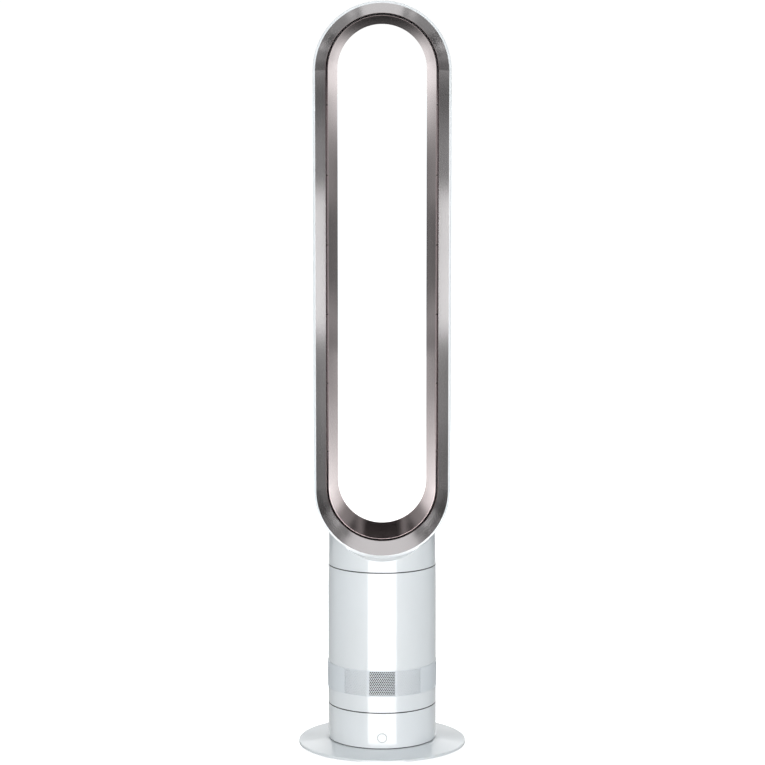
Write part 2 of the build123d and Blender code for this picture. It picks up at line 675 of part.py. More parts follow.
def make_mains_inlet():
    """Power inlet at the back: a block with a well for the lead's plug."""
    inner = CASING_BORE - INLET_DEPTH
    top = INLET_LEVEL + INLET_HEIGHT
    middle = INLET_LEVEL + INLET_HEIGHT / 2
    with BuildPart() as mains_inlet:
        block(INLET_WIDTH, INLET_FACE - inner, INLET_LEVEL, top, (0, (INLET_FACE + inner) / 2))
        with BuildSketch(Plane.XZ.offset(-INLET_FACE)) as well:
            with Locations((0, middle)):
                SlotCenterToCenter(INLET_PITCH, INLET_WELL_WIDTH)
        extrude(well.sketch, amount=INLET_WELL, mode=Mode.SUBTRACT)
    finish(mains_inlet, "mains_inlet")


def make_inlet_pins():
    middle = INLET_LEVEL + INLET_HEIGHT / 2
    with BuildPart() as inlet_pins:
        for x in (-INLET_PITCH / 2, INLET_PITCH / 2):
            along_y(INLET_PIN, INLET_FACE - INLET_WELL, INLET_FACE - SHADOW_DEPTH, middle, x)
    finish(inlet_pins, "inlet_pins")


def make_base_deck():
    """Bearing plate of the base, with the hollow spigot that the body turns on."""
    shoulder = BOSS_TOP + SLIDE_GAP
    with BuildPart() as base_deck:
        ring(CASING_BORE, SPIGOT_RADIUS - SPIGOT_WALL, DECK_LOW, DECK_TOP)
        ring(SPIGOT_RADIUS, SPIGOT_RADIUS - SPIGOT_WALL, DECK_TOP, shoulder)
        neck = SPIGOT_RADIUS - RETAINER_STEP
        ring(neck, SPIGOT_RADIUS - SPIGOT_WALL, shoulder, shoulder + RETAINER_THICK)
        discs(SCREW_RADIUS, DECK_LOW, DECK_TOP, POST_CIRCLE, POST_COUNT, BASE_POST_TURN, Mode.SUBTRACT)
        shaft_hole = DRIVE_SHAFT + CUT_OVER
        discs(shaft_hole, DECK_LOW, DECK_TOP, GEAR_CENTRES, 1, DRIVE_SIDE, Mode.SUBTRACT)
        with BuildSketch(Plane.XY.offset(DECK_LOW)) as ears:
            with Locations(*EARS):
                Circle(SCREW_RADIUS)
        extrude(ears.sketch, amount=DECK_THICK, mode=Mode.SUBTRACT)
    finish(base_deck, "base_deck")


def make_deck_screws():
    with BuildPart() as deck_screws:
        length = DECK_SCREW_LENGTH
        screws(DECK_TOP, length, POST_CIRCLE, POST_COUNT, BASE_POST_TURN, upward=False)
    finish(deck_screws, "deck_screws")


def make_glide_ring():
    """Slippery ring that carries the turning body's weight."""
    outer = RIB_RADIUS + GLIDE_MARGIN
    inner = RIB_RADIUS - RIB_WIDTH - GLIDE_MARGIN
    with BuildPart() as glide_ring:
        ring(outer, inner, DECK_TOP, DECK_TOP + GLIDE_THICK)
    finish(glide_ring, "glide_ring")


def make_pivot_retainer():
    low = BOSS_TOP + SLIDE_GAP
    with BuildPart() as pivot_retainer:
        ring(RETAINER_RADIUS, SPIGOT_RADIUS - RETAINER_STEP, low, low + RETAINER_THICK)
    finish(pivot_retainer, "pivot_retainer")


def make_drive_motor():
    """Small geared motor that swings the body, hung under the deck."""
    low = DECK_LOW - DRIVE_MOTOR_HEIGHT
    with BuildPart() as drive_motor:
        discs(DRIVE_MOTOR_RADIUS, low, DECK_LOW, GEAR_CENTRES, 1, DRIVE_SIDE)
        with BuildSketch(Plane.XY.offset(DECK_LOW - EAR_THICK)) as ears:
            with Locations((0, GEAR_CENTRES)):
                SlotCenterToCenter(2 * MOTOR_EAR, EAR_WIDTH)
            with Locations(*EARS):
                Circle(SCREW_RADIUS, mode=Mode.SUBTRACT)
        extrude(ears.sketch, amount=EAR_THICK)
        bore = DRIVE_SHAFT + RUNNING_FIT
        bottom = DECK_LOW - DRIVE_SHAFT_DEPTH - SLIDE_GAP
        discs(bore, bottom, DECK_LOW, GEAR_CENTRES, 1, DRIVE_SIDE, Mode.SUBTRACT)
    finish(drive_motor, "drive_motor")


def make_motor_screws():
    seat = DECK_LOW - EAR_THICK
    with BuildPart() as motor_screws:
        for radius, low, high in ((HEAD_RADIUS, seat - HEAD_HEIGHT, seat), (SCREW_RADIUS, seat, DECK_TOP)):
            with BuildSketch(Plane.XY.offset(low)) as section:
                with Locations(*EARS):
                    Circle(radius)
            extrude(section.sketch, amount=high - low)
    finish(motor_screws, "motor_screws")


def make_drive_shaft():
    top = PLATE_LOW - 2 * SLIDE_GAP
    with BuildPart() as drive_shaft:
        discs(DRIVE_SHAFT, DECK_LOW - DRIVE_SHAFT_DEPTH, top, GEAR_CENTRES, 1, DRIVE_SIDE)
    finish(drive_shaft, "drive_shaft")


def make_drive_pinion():
    """Pinion with a gap, not a tooth, facing the sector gear."""
    top = PLATE_LOW - 4 * SLIDE_GAP
    low = top - PINION_WIDTH
    step = 360 / PINION_TEETH
    angles = [DRIVE_SIDE + 180 + step * (tooth + 0.5) for tooth in range(PINION_TEETH)]
    with BuildPart() as drive_pinion:
        toothed(PINION_TEETH, angles, (0, GEAR_CENTRES), low, PINION_WIDTH)
        discs(DRIVE_SHAFT, low, top, GEAR_CENTRES, 1, DRIVE_SIDE, Mode.SUBTRACT)
    finish(drive_pinion, "drive_pinion")


def make_wiring_loom():
    """Four leads that rise through the hollow spigot to the body's plug."""
    corners = [(x * LOOM_SPREAD, y * LOOM_SPREAD) for x in (-1, 1) for y in (-1, 1)]
    with BuildPart() as wiring_loom:
        with BuildSketch(Plane.XY.offset(BOARD_TOP)) as wires:
            with Locations(*corners):
                Circle(LOOM_WIRE)
        extrude(wires.sketch, amount=LOOM_TOP - BOARD_TOP)
    finish(wiring_loom, "wiring_loom")


def make_loom_plug():
    with BuildPart() as loom_plug:
        block(PLUG_WIDTH, PLUG_DEPTH, LOOM_TOP, LOOM_TOP + PLUG_HEIGHT)
    finish(loom_plug, "loom_plug")


# ---------------------------------------------------------------- body that swings
def make_turntable():
    """Bottom plate of the body: it turns on the spigot and rides on the glide ring."""
    rib_low = DECK_TOP + GLIDE_THICK + SLIDE_GAP
    with BuildPart() as turntable:
        ring(CASING_BORE, 0, PLATE_LOW, PLATE_TOP)
        ring(RIB_RADIUS, RIB_RADIUS - RIB_WIDTH, rib_low, PLATE_LOW)
        ring(BOSS_RADIUS, 0, PLATE_LOW - GEAR_WIDTH, BOSS_TOP)
        bore = SPIGOT_RADIUS + RUNNING_FIT
        ring(bore, 0, PLATE_LOW - GEAR_WIDTH, BOSS_TOP, Mode.SUBTRACT)
        discs(SCREW_RADIUS, PLATE_LOW, PLATE_TOP, POST_CIRCLE, POST_COUNT, 0, Mode.SUBTRACT)
    finish(turntable, "turntable")


def make_swing_gear():
    """Toothed sector under the turntable, driven by the pinion behind it."""
    step = 360 / GEAR_TEETH
    angles = [DRIVE_SIDE + step * tooth for tooth in range(-SECTOR_SIDE, SECTOR_SIDE + 1)]
    low = PLATE_LOW - GEAR_WIDTH
    with BuildPart() as swing_gear:
        toothed(GEAR_TEETH, angles, (0, 0), low, GEAR_WIDTH)
        ring(BOSS_RADIUS, 0, low, PLATE_LOW, Mode.SUBTRACT)
    finish(swing_gear, "swing_gear")


def make_turntable_screws():
    with BuildPart() as turntable_screws:
        screws(PLATE_LOW - HEAD_HEIGHT, TURN_SCREW_LENGTH, POST_CIRCLE, POST_COUNT)
    finish(turntable_screws, "turntable_screws")


def make_loom_cover():
    """Rounded cap over the plug, which also smooths the air's way."""
    with BuildPart() as loom_cover:
        skirt_top = PLATE_TOP + COVER_SKIRT
        ring(COVER_RADIUS, COVER_RADIUS - COVER_WALL, PLATE_TOP, skirt_top)
        dome(COVER_RADIUS, skirt_top, COVER_DOME, COVER_WALL)
    finish(loom_cover, "loom_cover")


def make_inlet_foam():
    """Ring of sound-absorbing foam lying on the turntable."""
    with BuildPart() as inlet_foam:
        ring(FOAM_RADIUS, COVER_RADIUS + GLIDE_MARGIN, PLATE_TOP, PLATE_TOP + FOAM_THICK)
    finish(inlet_foam, "inlet_foam")


def make_body_casing():
    """Upper tube of the column, with a ring of windows behind the perforated sleeve."""
    window_low = GRILLE_LOW + WINDOW_MARGIN
    window_top = GRILLE_TOP - WINDOW_MARGIN
    ledge_low = SEAL_LEVEL - HOUSING_WALL
    post_top = PLATE_TOP + BODY_POST_HEIGHT
    with BuildPart() as body_casing:
        ring(COLUMN_RADIUS, CASING_BORE, BODY_LOW, BODY_TOP)
        ring(COLUMN_RADIUS, REBATE_RADIUS, GRILLE_LOW, GRILLE_TOP, Mode.SUBTRACT)
        with BuildPart(mode=Mode.PRIVATE) as windows:
            ring(COLUMN_RADIUS, CASING_BORE - CUT_OVER, window_low, window_top)
            reach = COLUMN_RADIUS + CUT_OVER
            spokes(0, reach, WINDOW_POST, window_low, window_top, WINDOW_COUNT, WINDOW_TURN,
                   Mode.SUBTRACT)
            closed = 2 * COLUMN_RADIUS * sin(radians(180 / WINDOW_COUNT))
            for turn in BLIND_TURNS:
                for side in (-90 - turn, -90 + turn):
                    spokes(0, reach, closed, window_low, window_top, 1, side, Mode.SUBTRACT)
        add(windows.part, mode=Mode.SUBTRACT)
        ring(CASING_BORE + CUT_OVER, CASING_BORE - LEDGE_WIDTH, ledge_low, SEAL_LEVEL)
        discs(POST_RADIUS, PLATE_TOP, post_top, POST_CIRCLE, POST_COUNT)
        outer = CASING_BORE + CASING_WALL / 2
        spokes(POST_CIRCLE, outer, WEB_THICK, PLATE_TOP, post_top, POST_COUNT)
        discs(SCREW_RADIUS, PLATE_TOP, post_top, POST_CIRCLE, POST_COUNT, 0, Mode.SUBTRACT)
    finish(body_casing, "body_casing")


def make_inlet_grille():
    """Perforated sleeve let into the casing, standing a little proud of it."""
    row_pitch = GRILLE_HEIGHT / (GRILLE_ROWS + 0.5)
    column_step = 360 / GRILLE_COLUMNS
    spots = []
    for row in range(GRILLE_ROWS):
        height = GRILLE_LOW + row_pitch * (row + 0.75)
        for column in range(GRILLE_COLUMNS):
            turn = column_step * (column + row % 2 / 2)
            spots.append(Rotation(0, 0, turn) * Pos(0, -GRILLE_RADIUS, height))
    with BuildPart() as inlet_grille:
        ring(GRILLE_RADIUS, REBATE_RADIUS, GRILLE_LOW, GRILLE_TOP)
        with Locations(*spots):
            Cylinder(GRILLE_HOLE, 4 * GRILLE_WALL, rotation=(90, 0, 0), mode=Mode.SUBTRACT)
    finish(inlet_grille, "inlet_grille")


def make_housing_seal():
    with BuildPart() as housing_seal:
        ring(SLEEVE_RADIUS, SLEEVE_RADIUS - SEAL_WIDTH, SEAL_LEVEL, FLANGE_LOW)
    finish(housing_seal, "housing_seal")


def cone_radius(height):
    """Inner radius of the impeller housing's cone at a height."""
    share = (height - EYE_LEVEL) / (EXIT_LEVEL - EYE_LEVEL)
    return EYE_RADIUS + share * (EXIT_RADIUS - EYE_RADIUS)


def make_impeller_housing():
    """Air duct: a bell mouth, a cone round the impeller and a tube round the motor."""
    path = (
        (EXIT_RADIUS, HOUSING_TOP),
        (EXIT_RADIUS, EXIT_LEVEL),
        (EYE_RADIUS, EYE_LEVEL),
        (EYE_RADIUS, EYE_LEVEL - BELL_STEP),
        (EYE_RADIUS + BELL_STEP, EYE_LEVEL - 2 * BELL_STEP),
        (EYE_RADIUS + BELL_STEP + BELL_FLARE, EYE_LEVEL - 3 * BELL_STEP),
    )
    with BuildPart() as impeller_housing:
        turned(sheet(path, HOUSING_WALL))
        inner = cone_radius(FLANGE_LOW + FLANGE_THICK) + HOUSING_WALL / 2
        ring(CASING_BORE - FLANGE_GAP, inner, FLANGE_LOW, FLANGE_LOW + FLANGE_THICK)
    finish(impeller_housing, "impeller_housing")


def make_silencer_sleeve():
    """Open-cell foam between the duct and the casing."""
    with BuildPart() as silencer_sleeve:
        ring(SLEEVE_RADIUS, SLEEVE_RADIUS - SILENCER_THICK, EXIT_LEVEL, HOUSING_TOP)
    finish(silencer_sleeve, "silencer_sleeve")


def make_impeller():
    """Mixed-flow wheel: a cone with curved blades that clear the housing by the tip gap."""
    hub = (
        (MOTOR_SHAFT, EYE_LEVEL),
        (HUB_FRONT, EYE_LEVEL),
        (HUB_BACK, EXIT_LEVEL - TIP_GAP),
        (MOTOR_SHAFT, EXIT_LEVEL - TIP_GAP),
    )
    blade_room = (
        (HUB_FRONT, EYE_LEVEL + TIP_GAP),
        (EYE_RADIUS - 2 * TIP_GAP, EYE_LEVEL + TIP_GAP),
        (EXIT_RADIUS - 2 * TIP_GAP, EXIT_LEVEL - TIP_GAP),
        (HUB_BACK - CUT_OVER, EXIT_LEVEL - TIP_GAP),
    )
    hollow = (
        (HUB_CORE, EYE_LEVEL + 2 * HUB_WALL),
        (HUB_BACK - 2 * HUB_WALL, EXIT_LEVEL),
        (HUB_CORE, EXIT_LEVEL),
    )
    with BuildPart() as impeller:
        curved_walls(BLADE_SWEEP, BLADE_THICK, HUB_FRONT, EXIT_RADIUS, EYE_LEVEL, EXIT_LEVEL,
                     BLADE_COUNT)
        turned(blade_room, Mode.INTERSECT)
        turned(hub)
        turned(hollow, Mode.SUBTRACT)
    finish(impeller, "impeller")


def make_motor_shaft():
    with BuildPart() as motor_shaft:
        ring(MOTOR_SHAFT, 0, EYE_LEVEL - NUT_HEIGHT - CUT_OVER, FRAME_CAP + SHAFT_OVERRUN)
    finish(motor_shaft, "motor_shaft")


def make_impeller_nut():
    with BuildPart() as impeller_nut:
        with BuildSketch(Plane.XY.offset(EYE_LEVEL - NUT_HEIGHT)) as nut:
            RegularPolygon(NUT_SIZE, 6)
            Circle(MOTOR_SHAFT, mode=Mode.SUBTRACT)
        extrude(nut.sketch, amount=NUT_HEIGHT)
    finish(impeller_nut, "impeller_nut")


def bearing_levels():
    """Lower faces of the two motor bearings."""
    return (CUP_FLOOR, FRAME_TOP - BEARING_WIDTH)


def make_bearing_outer_rings():
    with BuildPart() as bearing_outer_rings:
        for low in bearing_levels():
            ring(BEARING_OUTER, BEARING_OUTER - BEARING_RACE, low, low + BEARING_WIDTH)
    finish(bearing_outer_rings, "bearing_outer_rings")


def make_bearing_inner_rings():
    with BuildPart() as bearing_inner_rings:
        for low in bearing_levels():
            ring(MOTOR_SHAFT + BEARING_RACE, MOTOR_SHAFT, low, low + BEARING_WIDTH)
    finish(bearing_inner_rings, "bearing_inner_rings")


def make_bearing_balls():
    outer = BEARING_OUTER - BEARING_RACE
    inner = MOTOR_SHAFT + BEARING_RACE
    radius = (outer - inner) / 2 - BALL_GAP
    with BuildPart() as bearing_balls:
        for low in bearing_levels():
            with Locations((0, 0, low + BEARING_WIDTH / 2)):
                with PolarLocations((outer + inner) / 2, BALL_COUNT):
                    Sphere(radius)
    finish(bearing_balls, "bearing_balls")


def make_motor_bucket_lower():
    """Cup round the motor's lower half; its middle holds the lower bearing."""
    with BuildPart() as motor_bucket_lower:
        ring(BUCKET_RADIUS, 0, EXIT_LEVEL, BUCKET_JOINT)
        ring(BUCKET_BORE, 0, CUP_FLOOR, BUCKET_JOINT, Mode.SUBTRACT)
        ring(BEARING_OUTER + HUB_WALL, BEARING_OUTER, CUP_FLOOR, CUP_FLOOR + BEARING_WIDTH)
        ring(MOTOR_SHAFT + CUT_OVER, 0, EXIT_LEVEL, CUP_FLOOR, Mode.SUBTRACT)
    finish(motor_bucket_lower, "motor_bucket_lower")


def make_motor_bucket_upper():
    """Domed cap over the motor."""
    with BuildPart() as motor_bucket_upper:
        ring(BUCKET_RADIUS, BUCKET_BORE, BUCKET_JOINT, BUCKET_SHOULDER)
        dome(BUCKET_RADIUS, BUCKET_SHOULDER, BUCKET_DOME, BUCKET_WALL)
    finish(motor_bucket_upper, "motor_bucket_upper")


def make_diffuser_vanes():
    """Fixed vanes that straighten the air and carry the motor's bucket in the duct."""
    with BuildPart() as diffuser_vanes:
        top = VANE_LOW + VANE_HEIGHT
        curved_walls(VANE_CURVE, VANE_THICK, BUCKET_RADIUS, EXIT_RADIUS, VANE_LOW, top, VANE_COUNT)
    finish(diffuser_vanes, "diffuser_vanes")


def make_motor_frame():
    """Frame that holds the stator and the upper bearing inside the bucket."""
    with BuildPart() as motor_frame:
        ring(FRAME_RADIUS, FRAME_RADIUS - FRAME_WALL, CUP_FLOOR, FRAME_TOP)
        ring(FRAME_RADIUS, MOTOR_SHAFT + CUT_OVER, FRAME_TOP, FRAME_CAP)
        ring(BEARING_OUTER + HUB_WALL, BEARING_OUTER, FRAME_TOP - BEARING_WIDTH, FRAME_TOP)
        inner = FRAME_RADIUS - FRAME_WALL / 2
        outer = BUCKET_BORE - SLIDE_GAP
        spokes(inner, outer, ARM_THICK, CUP_FLOOR, BUCKET_JOINT, FRAME_ARMS)
        circle = FRAME_RADIUS - POST_RADIUS
        discs(STANDOFF_RADIUS, FRAME_CAP, MOTOR_BOARD_LOW, circle, BOARD_POSTS)
    finish(motor_frame, "motor_frame")


def make_motor_stator():
    """Laminated ring with inward teeth."""
    inner = FRAME_RADIUS - FRAME_WALL
    with BuildPart() as motor_stator:
        tooth_end = inner - STATOR_RING / 2
        spokes(TOOTH_SHOE, tooth_end, TOOTH_WIDTH, STATOR_LOW, STATOR_TOP, STATOR_TEETH)
        ring(tooth_end, TOOTH_SHOE, STATOR_LOW, STATOR_TOP, Mode.INTERSECT)
        ring(inner, inner - STATOR_RING, STATOR_LOW, STATOR_TOP)
    finish(motor_stator, "motor_stator")


def make_motor_windings():
    """Copper coils, one round each tooth."""
    wide = TOOTH_WIDTH + 2 * COIL_THICK
    low = STATOR_LOW - COIL_THICK
    top = STATOR_TOP + COIL_THICK
    with BuildPart() as motor_windings:
        spokes(COIL_START, COIL_END, wide, low, top, STATOR_TEETH)
        spokes(0, COIL_END + CUT_OVER, TOOTH_WIDTH, STATOR_LOW, STATOR_TOP, STATOR_TEETH,
               mode=Mode.SUBTRACT)
    finish(motor_windings, "motor_windings")


def make_rotor_magnet():
    with BuildPart() as rotor_magnet:
        ring(TOOTH_SHOE - ROTOR_GAP, MOTOR_SHAFT, STATOR_LOW - ROTOR_OVERHANG, STATOR_TOP)
    finish(rotor_magnet, "rotor_magnet")


def make_motor_board():
    with BuildPart() as motor_board:
        ring(MOTOR_BOARD_RADIUS, 0, MOTOR_BOARD_LOW, MOTOR_BOARD_LOW + BOARD_THICK)
    finish(motor_board, "motor_board")


def make_motor_capacitors():
    low = MOTOR_BOARD_LOW + BOARD_THICK
    circle = MOTOR_BOARD_RADIUS / 2
    with BuildPart() as motor_capacitors:
        discs(CAPACITOR_RADIUS, low, low + CAPACITOR_HEIGHT, circle, BOARD_POSTS, CAPACITOR_TURN)
    finish(motor_capacitors, "motor_capacitors")


# ---------------------------------------------------------------- bayonet lock
def wedges(outer, inner, low, high, angle, start, mode=Mode.ADD):
    """Short stretches of a ring, one for each lug of the lock."""
    with BuildPart(mode=Mode.PRIVATE) as stretches:
        with BuildSketch(Plane.XZ) as section:
            with BuildLine():
                Polyline((inner, low), (outer, low), (outer, high), (inner, high), close=True)
            make_face()
        for lug in range(LUG_COUNT):
            turn = Rotation(0, 0, start + 360 / LUG_COUNT * lug)
            revolve(turn * section.sketch, axis=Axis.Z, revolution_arc=angle)
    add(stretches.part, mode=mode)


def make_bayonet_socket():
    """Ring in the top of the body that the neck's lugs turn under, with a stop at each end."""
    bore = SKIRT_RADIUS + 2 * SLIDE_GAP
    with BuildPart() as bayonet_socket:
        ring(CASING_BORE, SOCKET_BORE, CHANNEL_LOW - SOCKET_FLANGE, SOCKET_TOP)
        ring(SOCKET_BORE, bore, LOCK_LOW, LOCK_TOP)
        ring(SOCKET_BORE, bore, CHANNEL_LOW - SOCKET_FLANGE, CHANNEL_LOW)
        notch = LUG_ANGLE + 2 * NOTCH_SPARE
        start = LOCK_TURN - NOTCH_SPARE
        reach = SKIRT_RADIUS + LUG_REACH + 2 * SLIDE_GAP
        wedges(reach, bore - CUT_OVER, LOCK_LOW, LOCK_TOP, notch, start, Mode.SUBTRACT)
        for stop in (-STOP_ANGLE - STOP_SPARE, LOCK_TURN + LUG_ANGLE + STOP_SPARE):
            wedges(SOCKET_BORE, bore, CHANNEL_LOW, LOCK_LOW, STOP_ANGLE, stop)
    finish(bayonet_socket, "bayonet_socket")


def make_neck_seal():
    with BuildPart() as neck_seal:
        ring(SOCKET_BORE, SOCKET_BORE - NECK_SEAL_WIDTH, LOCK_TOP, NECK_LOW - SLIDE_GAP)
    finish(neck_seal, "neck_seal")


def make_nozzle_collar():
    """Skirt under the neck, with the lugs that lock it into the body."""
    bore = SKIRT_RADIUS - SKIRT_WALL
    lug_top = LOCK_LOW - SLIDE_GAP
    with BuildPart() as nozzle_collar:
        ring(SKIRT_RADIUS, bore, NECK_LOW - SKIRT_DROP, NECK_LOW)
        ring(COLUMN_RADIUS - NECK_WALL, bore, NECK_LOW, NECK_LOW + SKIRT_FLANGE)
        inner = SKIRT_RADIUS - SKIRT_WALL / 2
        wedges(SKIRT_RADIUS + LUG_REACH, inner, lug_top - LUG_HEIGHT, lug_top, LUG_ANGLE, 0)
    finish(nozzle_collar, "nozzle_collar")


# ---------------------------------------------------------------- loop
def curl_point(radius, angle):
    """A point of the loop's rounded back edge."""
    turn = radians(angle)
    return CURL_CENTRE + Vector(cos(turn), sin(turn)) * radius


def shell_section():
    """White outside of the loop: rounded front rim, flat side and the back edge's curl."""
    inner = CURL_RADIUS - SHELL_WALL
    middle = CURL_JOINT / 2
    rim = LOOP_REACH - SHELL_ROUND
    with BuildSketch() as section:
        with BuildLine():
            Line(FACE_EDGE, (rim, -LOOP_FRONT))
            RadiusArc((rim, -LOOP_FRONT), (LOOP_REACH, SHELL_ROUND - LOOP_FRONT), -SHELL_ROUND)
            Line((LOOP_REACH, SHELL_ROUND - LOOP_FRONT), curl_point(CURL_RADIUS, 0))
            ThreePointArc(*[curl_point(CURL_RADIUS, a) for a in (0, middle, CURL_JOINT)])
            Line(curl_point(CURL_RADIUS, CURL_JOINT), curl_point(inner, CURL_JOINT))
            ThreePointArc(*[curl_point(inner, a) for a in (CURL_JOINT, middle, 0)])
            Line(curl_point(inner, 0), FACE_EDGE)
        make_face()
    return section.sketch


def liner_section():
    """Metal inside of the loop: from the back joint round the throat to the thin lip."""
    to_lip = LIP - CURL_CENTRE
    leave = degrees(atan2(to_lip.Y, to_lip.X)) % 360 - degrees(acos(CURL_RADIUS / to_lip.length))
    inner = CURL_RADIUS - METAL_WALL
    middle = (CURL_JOINT + leave) / 2
    outward = (curl_point(inner, leave) - curl_point(CURL_RADIUS, leave)).normalized()
    run = (LIP - curl_point(CURL_RADIUS, leave)).normalized()
    shoulder = LIP + outward * METAL_WALL - run * LIP_TAPER
    with BuildSketch() as section:
        with BuildLine():
            ThreePointArc(*[curl_point(CURL_RADIUS, a) for a in (CURL_JOINT, middle, leave)])
            Line(curl_point(CURL_RADIUS, leave), LIP)
            Line(LIP, LIP + outward * LIP_WALL)
            Line(LIP + outward * LIP_WALL, shoulder)
            Line(shoulder, curl_point(inner, leave))
            ThreePointArc(*[curl_point(inner, a) for a in (leave, middle, CURL_JOINT)])
            Line(curl_point(inner, CURL_JOINT), curl_point(CURL_RADIUS, CURL_JOINT))
        make_face()
    return section.sketch


def airfoil_section():
    """Metal front face: it slopes back from the rim to the slot and curls into the air way."""
    run = (FACE_SLOT - FACE_EDGE).normalized()
    start = FACE_EDGE - run * METAL_WALL * 4
    nose = FACE_SLOT + Vector(0, NOSE_DEPTH)
    end = nose + Vector(NOSE_FLARE, NOSE_FLARE)
    with BuildSketch() as section:
        with BuildLine():
            Polyline(*sheet((end, nose, FACE_SLOT, start), METAL_WALL), close=True)
        make_face()
        with Locations((FACE_EDGE.X / 2, 0)):
            Rectangle(FACE_EDGE.X, 2 * LOOP_FRONT, mode=Mode.INTERSECT)
    return section.sketch


def between(*solids, low, high, inner, outer):
    """The part of the air way's section between two depths that the given sections leave."""
    middle = Vector((inner + outer) / 2, (low + high) / 2)
    with BuildSketch() as section:
        with Locations(middle):
            Rectangle(outer - inner, high - low)
        for solid in solids:
            add(solid, mode=Mode.SUBTRACT)
    return section.sketch.faces().sort_by_distance(middle)[0]


def neck_trim(extra):
    """Space over the neck's top: the loop's own outline, and a ledge before and behind it."""
    rim = LOOP_REACH + LEDGE_DROP + extra
    seat = LOOP_REACH - SHELL_WALL / 2 + extra
    curl = CURL_RADIUS - SHELL_WALL / 2 + extra
    far = COLUMN_RADIUS + CUT_OVER
    meet = BACK_LEDGE_TURN
    with BuildSketch(Plane.XY.offset(LOW_CENTRE)) as section:
        with BuildLine():
            Polyline(
                curl_point(curl, meet),
                (curl_point(curl, meet).X + BACK_LEDGE_FALL, far),
                (0, far),
                (0, -far),
                (rim + FRONT_LEDGE_FALL, -far),
                (rim, -LOOP_FRONT),
                (seat, -LOOP_FRONT),
                curl_point(curl, 0),
            )
            ThreePointArc(*[curl_point(curl, a) for a in (0, meet / 2, meet)])
        make_face()
    return section.sketch


def make_nozzle_shell():
    """White loop with its short hollow neck."""
    axis = Axis((0, 0, LOW_CENTRE), (0, 1, 0))
    with BuildPart() as neck:
        ring(COLUMN_RADIUS, 0, NECK_LOW, LOW_CENTRE)
        revolve(neck_trim(0), axis=axis, mode=Mode.SUBTRACT)
    with BuildPart() as hollow:
        ring(COLUMN_RADIUS - NECK_WALL, 0, NECK_LOW, LOW_CENTRE)
        revolve(neck_trim(NECK_WALL), axis=axis, mode=Mode.SUBTRACT)
    hole_depth = AIR_HOLE_FRONT + AIR_HOLE_BACK
    hole_middle = (AIR_HOLE_BACK - AIR_HOLE_FRONT) / 2
    hole_top = LOW_CENTRE - sqrt((LOOP_REACH - SHELL_WALL) ** 2 - AIR_HOLE_HALF**2) + CUT_OVER
    with BuildPart() as nozzle_shell:
        round_the_loop(shell_section())
        add(neck.part)
        add(hollow.part, mode=Mode.SUBTRACT)
        block(2 * AIR_HOLE_HALF, hole_depth, NECK_LOW, hole_top, (0, hole_middle), Mode.SUBTRACT)
    finish(nozzle_shell, "nozzle_shell")


def make_rear_liner():
    with BuildPart() as rear_liner:
        round_the_loop(liner_section())
    finish(rear_liner, "rear_liner")


def make_front_airfoil():
    with BuildPart() as front_airfoil:
        round_the_loop(airfoil_section())
    finish(front_airfoil, "front_airfoil")


def make_slot_spacers():
    """Small fins across the air slot that hold it open evenly."""
    low = SLOT_DEPTH + SPACER_THICK
    high = SLOT_DEPTH + NOSE_DEPTH - SPACER_THICK
    gap = between(liner_section(), airfoil_section(), low=low, high=high,
                  inner=SLOT_REACH - SLOT_GAP - METAL_WALL, outer=SLOT_REACH + METAL_WALL)
    count = int(LOOP_STRAIGHT // SPACER_PITCH)
    first = LOW_CENTRE + (LOOP_STRAIGHT - SPACER_PITCH * (count - 1)) / 2
    with BuildPart() as slabs:
        for step in range(count):
            level = first + SPACER_PITCH * step
            block(2 * LOOP_REACH, 2 * LOOP_FRONT, level, level + SPACER_THICK)
        block(SPACER_THICK, 2 * LOOP_FRONT, NECK_LOW, HIGH_CENTRE + LOOP_REACH)
    with BuildPart() as slot_spacers:
        round_the_loop(gap)
        add(slabs.part, mode=Mode.INTERSECT)
    finish(slot_spacers, "slot_spacers")


def make_flow_splitter():
    """Wedge at the bottom of the air way that shares the air between the two sides."""
    front = SLOT_DEPTH + NOSE_DEPTH + NOSE_FLARE + SPLITTER_FRONT
    room = between(liner_section(), low=front, high=front + SPLITTER_DEPTH,
                   inner=THROAT_REACH - SPLITTER_FRONT, outer=LOOP_REACH - SHELL_WALL)
    top = LOW_CENTRE - THROAT_REACH
    with BuildPart() as flow_splitter:
        round_the_loop(room)
        with BuildSketch(Plane.XZ.offset(-LOOP_BACK)) as wedge:
            with BuildLine():
                Polyline(
                    (-SPLITTER_HALF, top),
                    (0, top - SPLITTER_HEIGHT),
                    (SPLITTER_HALF, top),
                    close=True,
                )
            make_face()
        extrude(wedge.sketch, amount=LOOP_BACK + LOOP_FRONT, mode=Mode.INTERSECT)
    finish(flow_splitter, "flow_splitter")


make_foot_ring()
make_foot_bottom()
make_ballast_plate()
make_foot_cover()
make_foot_screws()
make_base_floor()
make_base_casing()
make_main_board()
make_board_components()
make_control_board()
make_tact_switch()
make_display_module()
make_remote_receiver()
make_power_button()
make_button_spring()
make_mains_inlet()
make_inlet_pins()
make_base_deck()
make_deck_screws()
make_glide_ring()
make_pivot_retainer()
make_drive_motor()
make_motor_screws()
make_drive_shaft()
make_drive_pinion()
make_wiring_loom()
make_loom_plug()
make_turntable()
make_swing_gear()
make_turntable_screws()
make_loom_cover()
make_inlet_foam()
make_body_casing()
make_inlet_grille()
make_housing_seal()
make_impeller_housing()
make_silencer_sleeve()
make_impeller()
make_motor_shaft()
make_impeller_nut()
make_bearing_outer_rings()
make_bearing_inner_rings()
make_bearing_balls()
make_motor_bucket_lower()
make_motor_bucket_upper()
make_diffuser_vanes()
make_motor_frame()
make_motor_stator()
make_motor_windings()
make_rotor_magnet()
make_motor_board()
make_motor_capacitors()
make_bayonet_socket()
